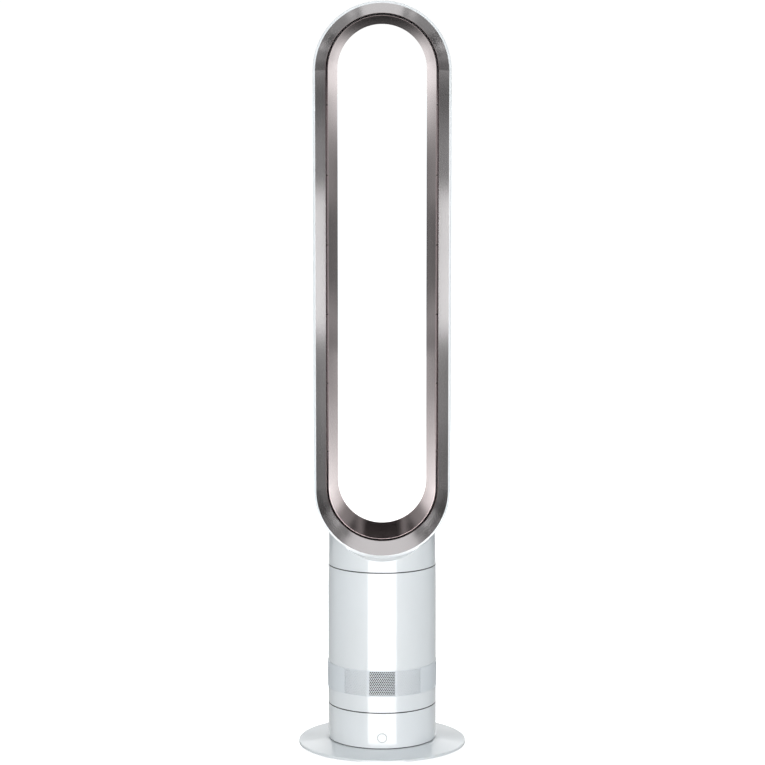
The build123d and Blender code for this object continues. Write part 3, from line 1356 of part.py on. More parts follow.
make_neck_seal()
make_nozzle_collar()
make_nozzle_shell()
make_rear_liner()
make_front_airfoil()
make_slot_spacers()
make_flow_splitter()
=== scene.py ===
"""Looks of a bladeless tower fan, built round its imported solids.

Shapes are written in millimetres and scaled to metres when they become meshes.
"""
import json
from math import cos, pi, radians, sin

import bmesh
import bpy
from mathutils import Matrix, Vector


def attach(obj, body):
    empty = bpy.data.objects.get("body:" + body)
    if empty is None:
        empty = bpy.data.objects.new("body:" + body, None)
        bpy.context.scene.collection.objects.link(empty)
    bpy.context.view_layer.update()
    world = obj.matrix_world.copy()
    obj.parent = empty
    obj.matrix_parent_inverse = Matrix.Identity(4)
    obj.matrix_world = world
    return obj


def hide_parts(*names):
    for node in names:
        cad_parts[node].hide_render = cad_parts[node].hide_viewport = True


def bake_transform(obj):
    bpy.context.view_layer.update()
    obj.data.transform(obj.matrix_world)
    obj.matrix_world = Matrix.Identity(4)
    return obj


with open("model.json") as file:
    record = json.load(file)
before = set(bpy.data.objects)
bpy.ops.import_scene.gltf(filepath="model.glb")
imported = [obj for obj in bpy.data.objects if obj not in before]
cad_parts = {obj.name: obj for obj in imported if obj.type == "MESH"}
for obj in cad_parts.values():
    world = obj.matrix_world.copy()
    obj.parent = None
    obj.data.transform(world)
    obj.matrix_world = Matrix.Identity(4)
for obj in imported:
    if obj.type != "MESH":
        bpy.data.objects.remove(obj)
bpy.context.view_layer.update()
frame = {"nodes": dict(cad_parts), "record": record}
MM = 0.001

# ---------------------------------------------------------------- sizes
LOOP_LOW, LOOP_HIGH = 358.0, 916.0     # centres of the loop's round ends
LOOP_INSIDE = 88.3                     # the shell's inner wall is this far out at most
CURL_REACH, CURL_DEPTH = 75.55, 39.55  # centre of the round of the loop's back edge
CURL_INSIDE = 14.2                     # radius that holds the round's inner wall
LIT_MARGIN = 30.0         # the hollow's painted glow fades this far short of the round ends
LIT_SOFTNESS = 60.0
JOINTS = (58.0, 249.7)    # levels of the joints between the column's tubes
JOINT = 1.0
JOINT_SHADE_REACH = 0.25         # of a tube's outside that gets the joint's painted shade
BUTTON_LEVEL = 23.8
BUTTON_RING = 6.1         # radius of the middle of its gray ring
BUTTON_RING_HALF = 0.55
SPRING_RADIUS = 6.2
SPRING_WIRE = 0.4         # radius of its wire
SPRING_TURNS = 4.0
SPRING_BACK, SPRING_FRONT = -60.4, -68.35
SPRING_STEPS = 40         # points to a turn
WIRE_SIDES = 10
SLEEVE = 74.2             # outside radius of the perforated sleeve
SLEEVE_BACK = 72.7        # inside radius of its lips
SLEEVE_LOW, SLEEVE_HIGH = 80.6, 116.1
SLEEVE_LIP = 0.4          # radius of the lips' rounded corners
SLEEVE_PLATE = 0.8        # thickness where it is perforated
HOLES_ROUND = 168
HOLES_PER_FIELD = 14      # one of them is left plain, as a rib
RIB_PLACE = 7
BLIND_MIDDLE = 28         # pitches from the front to the middle of a blind field
BLIND_REACH = 7           # pitches from there to its edge
HOLE_ROWS = 15
HOLE_ROW_PITCH = 2.25
HOLE_RADIUS = 1.1
HOLE_CORNERS = 12
EDGE_STEPS = 4            # points of the perforated plate's edge to a hole's pitch
PAST_HOLE = 1.05          # of the hole's radius squared; a point past it is on the cell's edge
SAME_NUMBER = 0.1         # whole numbers nearer than this are the same
MERGE = 0.01              # points of the rolled plate nearer than this become one
FINE_MERGE = 0.002        # points of a finished shape nearer than this become one
FINE_EDGE = 0.001         # an edge shorter than this goes

# ---------------------------------------------------------------- colours
WHITE = (0.86, 0.87, 0.885)
SLEEVE_WHITE = (0.8, 0.82, 0.85)
WARMER = (0.985, 0.98, 0.97)           # share of each part of a white in its warmer places
# painted shade in the column's joints, on the tubes' ends and edges
JOINT_SHADE = (0.012, 0.014, 0.016)
BUTTON_GRAY = (0.42, 0.42, 0.43)
# colour of the glow painted in the loop's hollow
INNER_LIGHT = (0.105, 0.088, 0.088)
NO_LIGHT = (0, 0, 0)
ALL_WAYS = (1, 1, 1)                   # grain that runs no special way


# ---------------------------------------------------------------- node trees
class Flow:
    """An output socket; arithmetic on it adds Math nodes to its tree."""

    def __init__(self, socket):
        self.socket = socket

    def output(self, name):
        """Another output of the same node."""
        return Flow(self.socket.node.outputs[name])

    def __add__(self, other):
        return reckon("ADD", self, other)

    def __sub__(self, other):
        return reckon("SUBTRACT", self, other)

    def __rsub__(self, other):
        return reckon("SUBTRACT", other, self)

    def __mul__(self, other):
        return reckon("MULTIPLY", self, other)

    def __truediv__(self, other):
        return reckon("DIVIDE", self, other)

    def __gt__(self, other):
        return reckon("GREATER_THAN", self, other)

    def __lt__(self, other):
        return reckon("LESS_THAN", self, other)

    __radd__ = __add__
    __rmul__ = __mul__


class Bench:
    """Adds nodes to one tree."""

    def __init__(self, tree):
        self.tree = tree

    def node(self, kind, settings=None, inputs=None, output=0):
        """Add a node: its settings first, then values or links; returns one output.

        A list of links goes into one socket together.
        """
        node = self.tree.nodes.new(kind)
        for name, value in (settings or {}).items():
            if name == "stops":
                for element, (place, colour) in zip(node.color_ramp.elements, value):
                    element.position, element.color = place, (*colour, 1)
            else:
                setattr(node, name, value)
        for name, given in (inputs or {}).items():
            for value in given if isinstance(given, list) else [given]:
                if isinstance(value, Flow):
                    self.tree.links.new(value.socket, node.inputs[name])
                else:
                    node.inputs[name].default_value = value
        return Flow(node.outputs[output]) if node.outputs else None


def reckon(operation, *terms):
    """A Math node on values and numbers, one of them at least a socket's."""
    tree = next(term.socket.id_data for term in terms if isinstance(term, Flow))
    return Bench(tree).node("ShaderNodeMath", {"operation": operation}, dict(enumerate(terms)))


def clamped(value, low, high):
    return reckon("MINIMUM", reckon("MAXIMUM", value, low), high)


def distance(one, two):
    """Length of the line that has these two parts, square to each other."""
    return reckon("SQRT", one * one + two * two)


def axes(vector):
    """The three parts of a vector."""
    x = Bench(vector.socket.id_data).node("ShaderNodeSeparateXYZ", inputs={0: vector})
    return x, x.output("Y"), x.output("Z")


def field_mask(value, low, high, soft):
    """One inside a range, falling to nothing over its soft edges; sizes in millimetres."""
    def edge(start, end):
        return Bench(value.socket.id_data).node(
            "ShaderNodeMapRange", {"interpolation_type": "SMOOTHSTEP"},
            {"Value": value, "From Min": start * MM, "From Max": end * MM})
    half = soft / 2
    return edge(low - half, low + half) * (1.0 - edge(high - half, high + half))


def mixed(bench, factor, one, two):
    """The first colour where the factor is nothing, the second where it is one."""
    one, two = (colour if isinstance(colour, Flow) else (*colour, 1) for colour in (one, two))
    # a Mix node's colour sockets go by number, because its other kinds have the same names
    return bench.node("ShaderNodeMix", {"data_type": "RGBA"}, {0: factor, 6: one, 7: two}, 2)


def new_material(name):
    """An empty material and the bench of its tree."""
    material = bpy.data.materials.new(name)
    material.use_nodes = True
    material.node_tree.nodes.clear()
    return material, Bench(material.node_tree)


# ---------------------------------------------------------------- finishes
def surface(name, colour, roughness, metallic=0.0, coat=0.0, coat_roughness=0.03,
            normal=None, light=None):
    """A material; colour, roughness, normal and light are made from its bench and Object place."""
    material, bench = new_material(name)
    place = bench.node("ShaderNodeTexCoord", output="Object")
    inputs = {
        "Base Color": colour(bench, place), "Roughness": roughness(bench, place),
        "Metallic": metallic, "Coat Weight": coat, "Coat Roughness": coat_roughness}
    if normal:
        inputs["Normal"] = normal(bench, place)
    if light:
        inputs["Emission Color"] = light(bench, place)
        inputs["Emission Strength"] = 1.0
    shader = bench.node("ShaderNodeBsdfPrincipled", inputs=inputs)
    bench.node("ShaderNodeOutputMaterial", inputs={"Surface": shader})
    return material


def noise(bench, place, scale, detail=2.0, grain=ALL_WAYS):
    """Noise that may be stretched, for grain that runs one way."""
    stretched = bench.node("ShaderNodeMapping", inputs={"Vector": place, "Scale": grain})
    return bench.node("ShaderNodeTexNoise", inputs={
        "Vector": stretched, "Scale": scale, "Detail": detail})


def tint(one, two, scale, detail=2.0, grain=ALL_WAYS):
    """A colour that wanders between two close tints."""
    def colour(bench, place):
        stops = [(0.35, one), (0.65, two)]
        return bench.node("ShaderNodeValToRGB", {"stops": stops}, {
            "Fac": noise(bench, place, scale, detail, grain)})
    return colour


def polish(middle, spread, scale, grain=ALL_WAYS):
    """A roughness that wanders a little round its middle."""
    def roughness(bench, place):
        return (noise(bench, place, scale, grain=grain) - 0.5) * (2 * spread) + middle
    return roughness


def bumps(scale, depth, detail=3.0, grain=ALL_WAYS):
    """Fine unevenness of a moulded or cast face; depth in millimetres."""
    def normal(bench, place):
        return bench.node("ShaderNodeBump", inputs={
            "Height": noise(bench, place, scale, detail, grain), "Distance": depth * MM})
    return normal


def dimmed(colour, share):
    return tuple(share * part for part in colour)


def moulded(name, colour, rough=0.5, scale=900.0, depth=0.03):
    """Plain moulded plastic or rubber with a fine grain."""
    return surface(name, tint(dimmed(colour, 0.86), colour, scale=60.0, detail=4.0),
                   polish(rough, spread=0.06, scale=300.0), normal=bumps(scale, depth))


def metal(name, colour, rough, grain=ALL_WAYS, scale=700.0, depth=0.006):
    """Bare metal, drawn or turned along its grain."""
    return surface(name, tint(dimmed(colour, 0.9), colour, scale, detail=3.0, grain=grain),
                   polish(rough, spread=0.05, scale=scale, grain=grain), metallic=1.0,
                   normal=bumps(scale, depth, grain=grain))


def casing_paint(colour):
    """The casing's white, with slightly warmer places."""
    warmer = tuple(part * share for part, share in zip(colour, WARMER))
    return tint(warmer, colour, scale=9.0)


def joint_shade_paint(bench, place):
    """The casing's white, with painted shade on the tubes' ends and edges at the column's joints.
    """
    z = axes(place)[2]
    # painted shade: the tubes' ends and a thin band of their outsides at each joint
    in_joint_shade = sum(reckon("COMPARE", z, level * MM, (JOINT / 2 + JOINT_SHADE_REACH) * MM)
               for level in JOINTS)
    return mixed(bench, in_joint_shade, casing_paint(WHITE)(bench, place), JOINT_SHADE)


def ringed_paint(bench, place):
    """The casing's white with the button's thin gray ring at its edge."""
    x, _, z = axes(place)
    edge = reckon("COMPARE", distance(x, z - BUTTON_LEVEL * MM), BUTTON_RING * MM,
                  BUTTON_RING_HALF * MM)
    return mixed(bench, edge, WHITE, BUTTON_GRAY)


def inner_light(bench, place):
    """A painted glow in the hollow sides of the loop, standing in for light that bounces about in
    them; it shows in the air slot.
    """
    x, y, z = axes(place)
    reach = distance(x, z - clamped(z, LOOP_LOW * MM, LOOP_HIGH * MM))
    aside = reach - CURL_REACH * MM
    behind = reckon("MAXIMUM", y - CURL_DEPTH * MM, 0.0)
    hollow = (aside * aside + behind * behind) < (CURL_INSIDE * MM) ** 2
    along = field_mask(z, LOOP_LOW + LIT_MARGIN, LOOP_HIGH - LIT_MARGIN, LIT_SOFTNESS)
    return mixed(bench, hollow * (reach < LOOP_INSIDE * MM) * along, NO_LIGHT, INNER_LIGHT)


def glossy_plastic(name, paint, coat=1.0, light=None):
    """Smooth glossy plastic of the casings."""
    return surface(name, paint, polish(0.34, spread=0.03, scale=40.0), coat=coat,
                   normal=bumps(scale=120.0, depth=0.004, detail=1.0), light=light)


def metallised(name, colour, rough):
    """Thin satin metal coating on plastic, with a very fine sparkle."""
    return surface(name, tint(dimmed(colour, 0.93), colour, scale=2600.0),
                   polish(rough, spread=0.02, scale=1800.0), metallic=1.0, coat=0.25,
                   coat_roughness=0.08, normal=bumps(scale=2400.0, depth=0.001))


def circuit_board(name):
    """Green board with paler tracks under the lacquer."""
    def colour(bench, place):
        turned_place = bench.node("ShaderNodeMapping", inputs={
            "Vector": place, "Rotation": (0.6, 0.0, 0.785)})
        return bench.node("ShaderNodeTexBrick", inputs={
            "Vector": turned_place, "Scale": 120.0, "Color1": (0.012, 0.11, 0.05, 1),
            "Color2": (0.014, 0.13, 0.06, 1), "Mortar": (0.05, 0.26, 0.12, 1),
            "Mortar Size": 0.03})
    return surface(name, colour, polish(0.35, spread=0.05, scale=200.0), coat=0.6,
                   coat_roughness=0.1, normal=bumps(scale=500.0, depth=0.01))


def wound_wire(name):
    """Enamelled copper in close turns."""
    def turns(bench, place):
        return bench.node("ShaderNodeTexWave", {"bands_direction": "Z"}, {
            "Vector": place, "Scale": 420.0, "Distortion": 0.6, "Detail": 1.0}, "Fac")

    def colour(bench, place):
        stops = [(0.0, (0.2, 0.05, 0.02)), (0.5, (0.75, 0.3, 0.12))]
        return bench.node("ShaderNodeValToRGB", {"stops": stops}, {"Fac": turns(bench, place)})

    def normal(bench, place):
        return bench.node("ShaderNodeBump", inputs={
            "Height": turns(bench, place), "Distance": 0.15 * MM})
    return surface(name, colour, polish(0.3, spread=0.05, scale=200.0), metallic=0.9, coat=0.5,
                   coat_roughness=0.1, normal=normal)


def open_foam(name):
    """Open-celled foam."""
    def cells(bench, place):
        return bench.node("ShaderNodeTexVoronoi", inputs={
            "Vector": place, "Scale": 700.0, "Randomness": 1.0}, output="Distance")

    def colour(bench, place):
        stops = [(0.1, (0.015, 0.015, 0.017)), (0.6, (0.09, 0.09, 0.1))]
        return bench.node("ShaderNodeValToRGB", {"stops": stops}, {"Fac": cells(bench, place)})

    def normal(bench, place):
        return bench.node("ShaderNodeBump", inputs={
            "Height": cells(bench, place), "Distance": 0.8 * MM})
    return surface(name, colour, polish(0.95, spread=0.03, scale=300.0), normal=normal)


FINISHES = {
    "white": glossy_plastic("White casing", casing_paint(WHITE)),
    # the tubes and the loop carry painted shade at the column's joints
    "white_tube": glossy_plastic("White column tube", joint_shade_paint),
    # the loop also has a painted glow in its hollow
    "white_loop": glossy_plastic("White loop", joint_shade_paint, light=inner_light),
    "white_sleeve": glossy_plastic("White sleeve", casing_paint(SLEEVE_WHITE), coat=0.3),
    "white_button": glossy_plastic("White button", ringed_paint),
    "face_metal": metallised("Front face coating", (0.565, 0.54, 0.545), rough=0.17),
    "liner_metal": metallised("Liner coating", (0.455, 0.368, 0.368), rough=0.17),
    "dark_plastic": moulded("Dark moulding", (0.035, 0.035, 0.038)),
    "pale_plastic": moulded("Pale gear plastic", (0.68, 0.67, 0.62), rough=0.42),
    "impeller_plastic": moulded("Wheel plastic", (0.05, 0.053, 0.06), rough=0.4),
    "rubber": moulded("Rubber", (0.02, 0.02, 0.021), rough=0.75, scale=1400.0, depth=0.05),
    "ballast": moulded("Painted weight", (0.09, 0.092, 0.096), rough=0.55, scale=220.0, depth=0.12),
    "steel": metal("Bright steel", (0.6, 0.61, 0.62), rough=0.28),
    "motor_case": metal("Plated motor can", (0.62, 0.62, 0.6), rough=0.32, grain=(1, 1, 12)),
    "aluminium": metal("Cast aluminium", (0.7, 0.71, 0.72), rough=0.42, scale=260.0, depth=0.03),
    "magnet": metal("Magnet", (0.16, 0.16, 0.17), rough=0.5, scale=500.0, depth=0.03),
    "copper": wound_wire("Copper winding"),
    "board": circuit_board("Circuit board"),
    "component": moulded("Component case", (0.025, 0.025, 0.028), rough=0.38, scale=600.0,
                         depth=0.015),
    "lamp": moulded("Smoked lens", (0.02, 0.018, 0.025), rough=0.12, scale=400.0, depth=0.003),
    "brass": metal("Plated brass pins", (0.78, 0.6, 0.3), rough=0.2, grain=(6, 1, 6)),
    "wire": moulded("Wire sleeve", (0.3, 0.02, 0.015), rough=0.45, scale=500.0, depth=0.02),
    "foam": open_foam("Open foam"),
}


# ---------------------------------------------------------------- pieces
def piece_of(mesh, name):
    """An object of a mesh, linked to the scene."""
    piece = bpy.data.objects.new(name, mesh)
    bpy.context.scene.collection.objects.link(piece)
    return piece


def shape_tree(name, result, counts=(), sizes=()):
    """A tree with named inputs; returns its bench and its inputs by name."""
    tree = bpy.data.node_groups.new(name, "GeometryNodeTree")
    kinds = [(label, "NodeSocketInt") for label in counts]
    kinds += [(label, "NodeSocketFloat") for label in sizes]
    kinds.append(("Finish", "NodeSocketMaterial"))
    for label, kind in kinds:
        tree.interface.new_socket(label, in_out="INPUT", socket_type=kind)
    tree.interface.new_socket(result, in_out="OUTPUT", socket_type="NodeSocketGeometry")
    bench = Bench(tree)
    entry = bench.node("NodeGroupInput")
    return bench, {label: entry.output(label) for label, _ in kinds}


def end_tree(bench, geometry, finish):
    """Give the tree's finished geometry its material and send it out."""
    dressed = bench.node("GeometryNodeSetMaterial", inputs={
        "Geometry": geometry, "Material": finish})
    bench.node("NodeGroupOutput", inputs={0: dressed})
    return bench.tree


def grown(tree, name, values):
    """The plain shape that a tree makes with these inputs."""
    holder = piece_of(bpy.data.meshes.new(name), name + "_source")
    modifier = holder.modifiers.new("Shape", "NODES")
    modifier.node_group = tree
    for item in tree.interface.items_tree:
        if item.in_out == "INPUT":
            modifier[item.identifier] = values[item.name]
    bpy.context.view_layer.update()
    graph = bpy.context.evaluated_depsgraph_get()
    mesh = bpy.data.meshes.new_from_object(holder.evaluated_get(graph))
    bpy.data.objects.remove(holder)
    shape = bmesh.new()
    shape.from_mesh(mesh)
    bpy.data.meshes.remove(mesh)
    return shape


def finished(shape, name, finish, node, sharp):
    """The piece of a shape, smooth but for its sharp edges, dressed and in place of its node."""
    bmesh.ops.remove_doubles(shape, verts=shape.verts, dist=FINE_MERGE)
    bmesh.ops.dissolve_degenerate(shape, edges=shape.edges, dist=FINE_EDGE)
    bmesh.ops.recalc_face_normals(shape, faces=shape.faces)
    shape.transform(Matrix.Scale(MM, 4))
    mesh = bpy.data.meshes.new(name)
    shape.to_mesh(mesh)
    shape.free()
    mesh.shade_smooth()
    mesh.set_sharp_from_angle(angle=radians(sharp))
    mesh.materials.append(FINISHES[finish])
    piece = piece_of(mesh, name)
    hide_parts(node)
    return piece


def add_band(shape, rows):
    """Quads between neighbouring rows of points, and from the last row to the first."""
    made = [[shape.verts.new(point) for point in row] for row in rows]
    for one, two in zip(made, made[1:] + made[:1]):
        for i in range(len(one) - 1):
            shape.faces.new((one[i], one[i + 1], two[i + 1], two[i]))


def turned(outline, steps):
    """Rows of points of an outline (radius, height) turned round the column's axis."""
    turns = [2 * pi * step / steps for step in range(steps)]
    return [[(r * sin(turn), -r * cos(turn), z) for r, z in outline] for turn in turns]


# ---------------------------------------------------------------- perforated sleeve
def plate_cell(bench, given, edge_place, holed):
    """One cell of the plate: its edge points meet its neighbours', with a hole or plain."""
    radius = given["Hole radius"]
    disc = bench.node("GeometryNodeMeshCircle", {"fill_type": "NGON"}, {
        "Vertices": HOLE_CORNERS, "Radius": radius})
    if holed:
        rim = bench.node("GeometryNodeExtrudeMesh", inputs={"Mesh": disc, "Offset Scale": 0.0})
        hole = rim.output("Top")
        outer = bench.node("FunctionNodeBooleanMath", {"operation": "NOT"}, {0: hole})
        spread = bench.node("GeometryNodeSetPosition", inputs={
            "Geometry": rim, "Selection": outer, "Position": edge_place})
        face = bench.node("GeometryNodeDeleteGeometry", {"domain": "FACE"}, {
            "Geometry": spread, "Selection": hole})
    else:
        face = bench.node("GeometryNodeSetPosition", inputs={
            "Geometry": disc, "Position": edge_place})
    thick = bench.node("GeometryNodeExtrudeMesh", inputs={
        "Mesh": face, "Individual": False, "Offset Scale": given["Wall"],
        "Offset": bench.node("ShaderNodeCombineXYZ", inputs={"Z": 1.0})})
    x, y, _ = axes(bench.node("GeometryNodeInputPosition"))
    past_hole = (x * x + y * y) > radius * radius * PAST_HOLE
    on_edge = bench.node("FunctionNodeBooleanMath", {"operation": "AND"}, {
        0: thick.output("Side"), 1: past_hole})
    walls = bench.node("GeometryNodeDeleteGeometry", {"domain": "FACE"}, {
        "Geometry": thick, "Selection": on_edge})
    back = bench.node("GeometryNodeFlipFaces", inputs={"Mesh": face})
    return bench.node("GeometryNodeJoinGeometry", inputs={0: [walls, back]})


def perforation_tree():
    """Plate with staggered round holes in fields between ribs, rolled into a sleeve.

    The fields in front of the blind windows at the sides stay plain.
    """
    bench, given = shape_tree(
        "Perforated sleeve", "Sleeve",
        counts=("Columns", "Rows", "Field", "Rib", "Blind middle", "Blind reach"),
        sizes=("Pitch", "Row pitch", "Hole radius", "Radius", "Wall", "Low"))
    columns, pitch, row_pitch = given["Columns"], given["Pitch"], given["Row pitch"]

    def vector(x, y, z):
        return bench.node("ShaderNodeCombineXYZ", inputs={"X": x, "Y": y, "Z": z})

    # a point of a hole's rim belongs to a point of its cell's edge: steps of a quarter of the
    # pitch across and of half the row pitch up
    x, y, _ = axes(bench.node("GeometryNodeInputPosition"))
    step_x = reckon("ROUND", x / given["Hole radius"] * 2.0)
    step_y = clamped(reckon("ROUND", y / given["Hole radius"] * 2.0), -1.0, 1.0)
    edge_place = vector(step_x * pitch * 0.25, step_y * row_pitch * 0.5, 0.0)

    # the cells' places: every other row is shifted by half a pitch
    points = bench.node("GeometryNodeMeshLine", inputs={
        "Count": columns * given["Rows"], "Offset": vector(0.0, 0.0, 0.0)})
    index = bench.node("GeometryNodeInputIndex")
    row = reckon("FLOOR", index / columns)
    column = index - row * columns
    odd = reckon("MODULO", row, 2.0)
    spots = bench.node("GeometryNodeSetPosition", inputs={
        "Geometry": points,
        "Position": vector((column + odd * 0.5) * pitch, row * row_pitch + row_pitch * 0.5, 0.0)})

    # ribs and blind fields have plain cells
    in_field = reckon("MODULO", column + odd, given["Field"])
    rib = reckon("COMPARE", in_field, given["Rib"], SAME_NUMBER)
    from_front = reckon("MINIMUM", column + odd, columns - column)
    blind = reckon("COMPARE", from_front, given["Blind middle"],
                   given["Blind reach"] + SAME_NUMBER)
    plain = reckon("MAXIMUM", rib, blind)
    cells = [bench.node("GeometryNodeInstanceOnPoints", inputs={
        "Points": spots, "Selection": chosen,
        "Instance": plate_cell(bench, given, edge_place, holed)})
        for chosen, holed in ((1.0 - plain, True), (plain, False))]
    plate = bench.node("GeometryNodeRealizeInstances", inputs={
        "Geometry": bench.node("GeometryNodeJoinGeometry", inputs={0: cells})})

    # roll the plate round the column's axis
    x, y, z = axes(bench.node("GeometryNodeInputPosition"))
    turn = (x + pitch * 0.25) / (columns * pitch) * (2 * pi)
    reach = given["Radius"] - given["Wall"] + z
    rolled = bench.node("GeometryNodeSetPosition", inputs={
        "Geometry": plate,
        "Position": vector(reckon("SINE", turn) * reach, reckon("COSINE", turn) * reach * -1.0,
                           y + given["Low"])})
    closed = bench.node("GeometryNodeMergeByDistance", inputs={
        "Geometry": rolled, "Distance": MERGE})
    return end_tree(bench, closed, given["Finish"])


def make_perforated_sleeve():
    """The sleeve's holes, closed above and below by its plain rounded lips."""
    rows_high = HOLE_ROWS * HOLE_ROW_PITCH
    low = (SLEEVE_LOW + SLEEVE_HIGH - rows_high) / 2
    shape = grown(perforation_tree(), "perforated_sleeve", {
        "Columns": HOLES_ROUND, "Rows": HOLE_ROWS, "Field": HOLES_PER_FIELD, "Rib": RIB_PLACE,
        "Blind middle": BLIND_MIDDLE, "Blind reach": BLIND_REACH,
        "Pitch": 2 * pi * SLEEVE / HOLES_ROUND, "Row pitch": HOLE_ROW_PITCH,
        "Hole radius": HOLE_RADIUS, "Radius": SLEEVE, "Wall": SLEEVE_PLATE, "Low": low,
        "Finish": FINISHES["white_sleeve"]})
    corner = [(SLEEVE - SLEEVE_LIP * (1 - cos(turn)), SLEEVE_LIP * (1 - sin(turn)))
              for turn in (0.0, pi / 6, pi / 3, pi / 2)]
    for level, end, inwards in ((low, SLEEVE_LOW, 1), (low + rows_high, SLEEVE_HIGH, -1)):
        outline = [(SLEEVE, level)] + [(r, end + inwards * z) for r, z in corner]
        outline += [(SLEEVE_BACK, end), (SLEEVE_BACK, level), (SLEEVE - SLEEVE_PLATE, level)]
        add_band(shape, turned(outline, HOLES_ROUND * EDGE_STEPS))
    sleeve = finished(shape, "perforated_sleeve", "white_sleeve", "inlet_grille",
                      sharp=40.0)
    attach(sleeve, "body")


# ---------------------------------------------------------------- button's spring
def coil_tree():
    """A round wire wound in open turns, rising along its axis."""
    bench, given = shape_tree("Coil", "Coil", sizes=("Turns", "Radius", "Length", "Wire"))
    path = bench.node("GeometryNodeCurveSpiral", inputs={
        "Resolution": SPRING_STEPS, "Rotations": given["Turns"], "Start Radius": given["Radius"],
        "End Radius": given["Radius"], "Height": given["Length"]})
    wire = bench.node("GeometryNodeCurvePrimitiveCircle", inputs={
        "Resolution": WIRE_SIDES, "Radius": given["Wire"]})
    tube = bench.node("GeometryNodeCurveToMesh", inputs={
        "Curve": path, "Profile Curve": wire, "Fill Caps": True})
    solid = bench.node("GeometryNodeRealizeInstances", inputs={"Geometry": tube})
    return end_tree(bench, solid, given["Finish"])


def make_button_coil():
    """The spring behind the button, between the board and the button."""
    shape = grown(coil_tree(), "button_coil", {
        "Turns": SPRING_TURNS, "Radius": SPRING_RADIUS, "Length": SPRING_BACK - SPRING_FRONT,
        "Wire": SPRING_WIRE, "Finish": FINISHES["steel"]})
    back = Vector((0, SPRING_BACK, BUTTON_LEVEL))
    shape.transform(Matrix.Translation(back) @ Matrix.Rotation(pi / 2, 4, "X"))
    coil = finished(shape, "button_coil", "steel", "button_spring", sharp=60.0)
    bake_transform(coil)


make_perforated_sleeve()
make_button_coil()

# ---------------------------------------------------------------- solids that keep their shape
SPECIAL = {"base_casing": "white_tube", "body_casing": "white_tube",
           "nozzle_shell": "white_loop", "power_button": "white_button"}
for subpart in frame["record"]["subparts"]:
    solid = frame["nodes"][subpart["node"]]
    finish = SPECIAL.get(subpart["node"], subpart["material_slot"])
    if not solid.hide_render:
        for index in range(len(solid.data.materials)):
            solid.data.materials[index] = FINISHES[finish]

# ---------------------------------------------------------------- studio
FLOOR_HALF = 30000.0
FLOOR_COLOUR = (0.8, 0.8, 0.8)
NEAR_FAN, FAR_FROM_FAN = 0.4, 1.6      # metres over which the floor's own light grows
NEAR_LIGHT, FAR_LIGHT = 0.72, 1.02     # that light at the fan and far from it
BACKGROUND = 1.03                      # the world as the camera and reflections see it
AMBIENT = 0.11                         # and as it lights the fan
SHADE = (0.35, 0.8, 1.0)               # cool tint of the light that reaches the fan's sides

CARD_HALF = 875.0         # the card in front, for the bright strip down the column
CARD_DEPTH = -1500.0
CARD_LOW, CARD_HIGH = -700.0, 60.0
CARD_LIGHT = 6.0

BOARD_HALF = 900.0        # the board behind, that the loop's metal mirrors
BOARD_DEPTH = 600.0
BOARD_LOW, BOARD_HIGH = -1200.0, 1900.0
BOARD_LIGHT = 0.4         # outside the fields
# soft-edged fields of light and shade on the board, each side of its middle, laid one over
# the other: (x from, x to, z from, z to, softness, brightness)
FIELDS = (
    (-100, 700, 870, 1900, 40, 1.0),    # pale wall above: the face's lowest part
    (630, 900, 780, 910, 40, 0.0),      # dark beside it
    (-100, 180, 190, 460, 20, 1.0),     # pale low middle: the face's highest part
    (-100, 170, 520, 770, 40, 0.0),     # black middle: the liner's top and bottom
    (80, 180, 820, 950, 90, 1.8),       # bright: the liner's upper sides
    (180, 240, 370, 500, 60, 0.2),      # gray: the liner's sides, below their middle
    (210, 310, 550, 690, 50, 0.0),      # dark: the liner's lower corners
    (210, 330, 100, 290, 140, 2.4),     # bright: the liner's lower sides
    (260, 310, 180, 400, 110, 2.3),     # bright: where its lower corners begin
    (310, 510, 590, 900, 40, 0.0),      # black: the face's upper shoulders
    (470, 900, -200, 300, 100, 0.25),   # dim: the lower part of the face's sides
    (610, 900, 140, 760, 40, 0.0),      # black: the face's lower shoulders
    (560, 600, 420, 790, 50, 0.75),     # soft: round the bright stretch of the face's sides
    (555, 585, 460, 700, 50, 4.2),      # bright stretch of the face's sides
    (470, 600, 830, 920, 60, 0.15),     # dark: the upper part of the face's sides
    (-100, 900, -1200, 110, 60, 0.65),  # low wall: the edges of the column
)

SENSOR, LENS = 36.0, 129.6             # the camera's width of picture and focal length
EYE = (0.5, -3681.5, 992.15)           # the camera's place
LOOK_DOWN = 0.13375                    # radians
SEEN_REACH = 100.0                     # metres; the camera sees no further


def staged_sheet(name, material, corners):
    """A flat sheet of the studio, which isn't part of the fan."""
    mesh = bpy.data.meshes.new(name)
    mesh.from_pydata([Vector(corner) * MM for corner in corners], [], [(0, 1, 2, 3)])
    mesh.materials.append(material)
    sheet = piece_of(mesh, name)
    return sheet


def mirrored_sheet(name, material, half, depth, low, high):
    """An upright sheet that only reflections see."""
    sheet = staged_sheet(name, material, [
        (-half, depth, low), (half, depth, low), (half, depth, high), (-half, depth, high)])
    sheet.visible_camera = sheet.visible_diffuse = sheet.visible_shadow = False
    sheet.visible_transmission = sheet.visible_volume_scatter = False


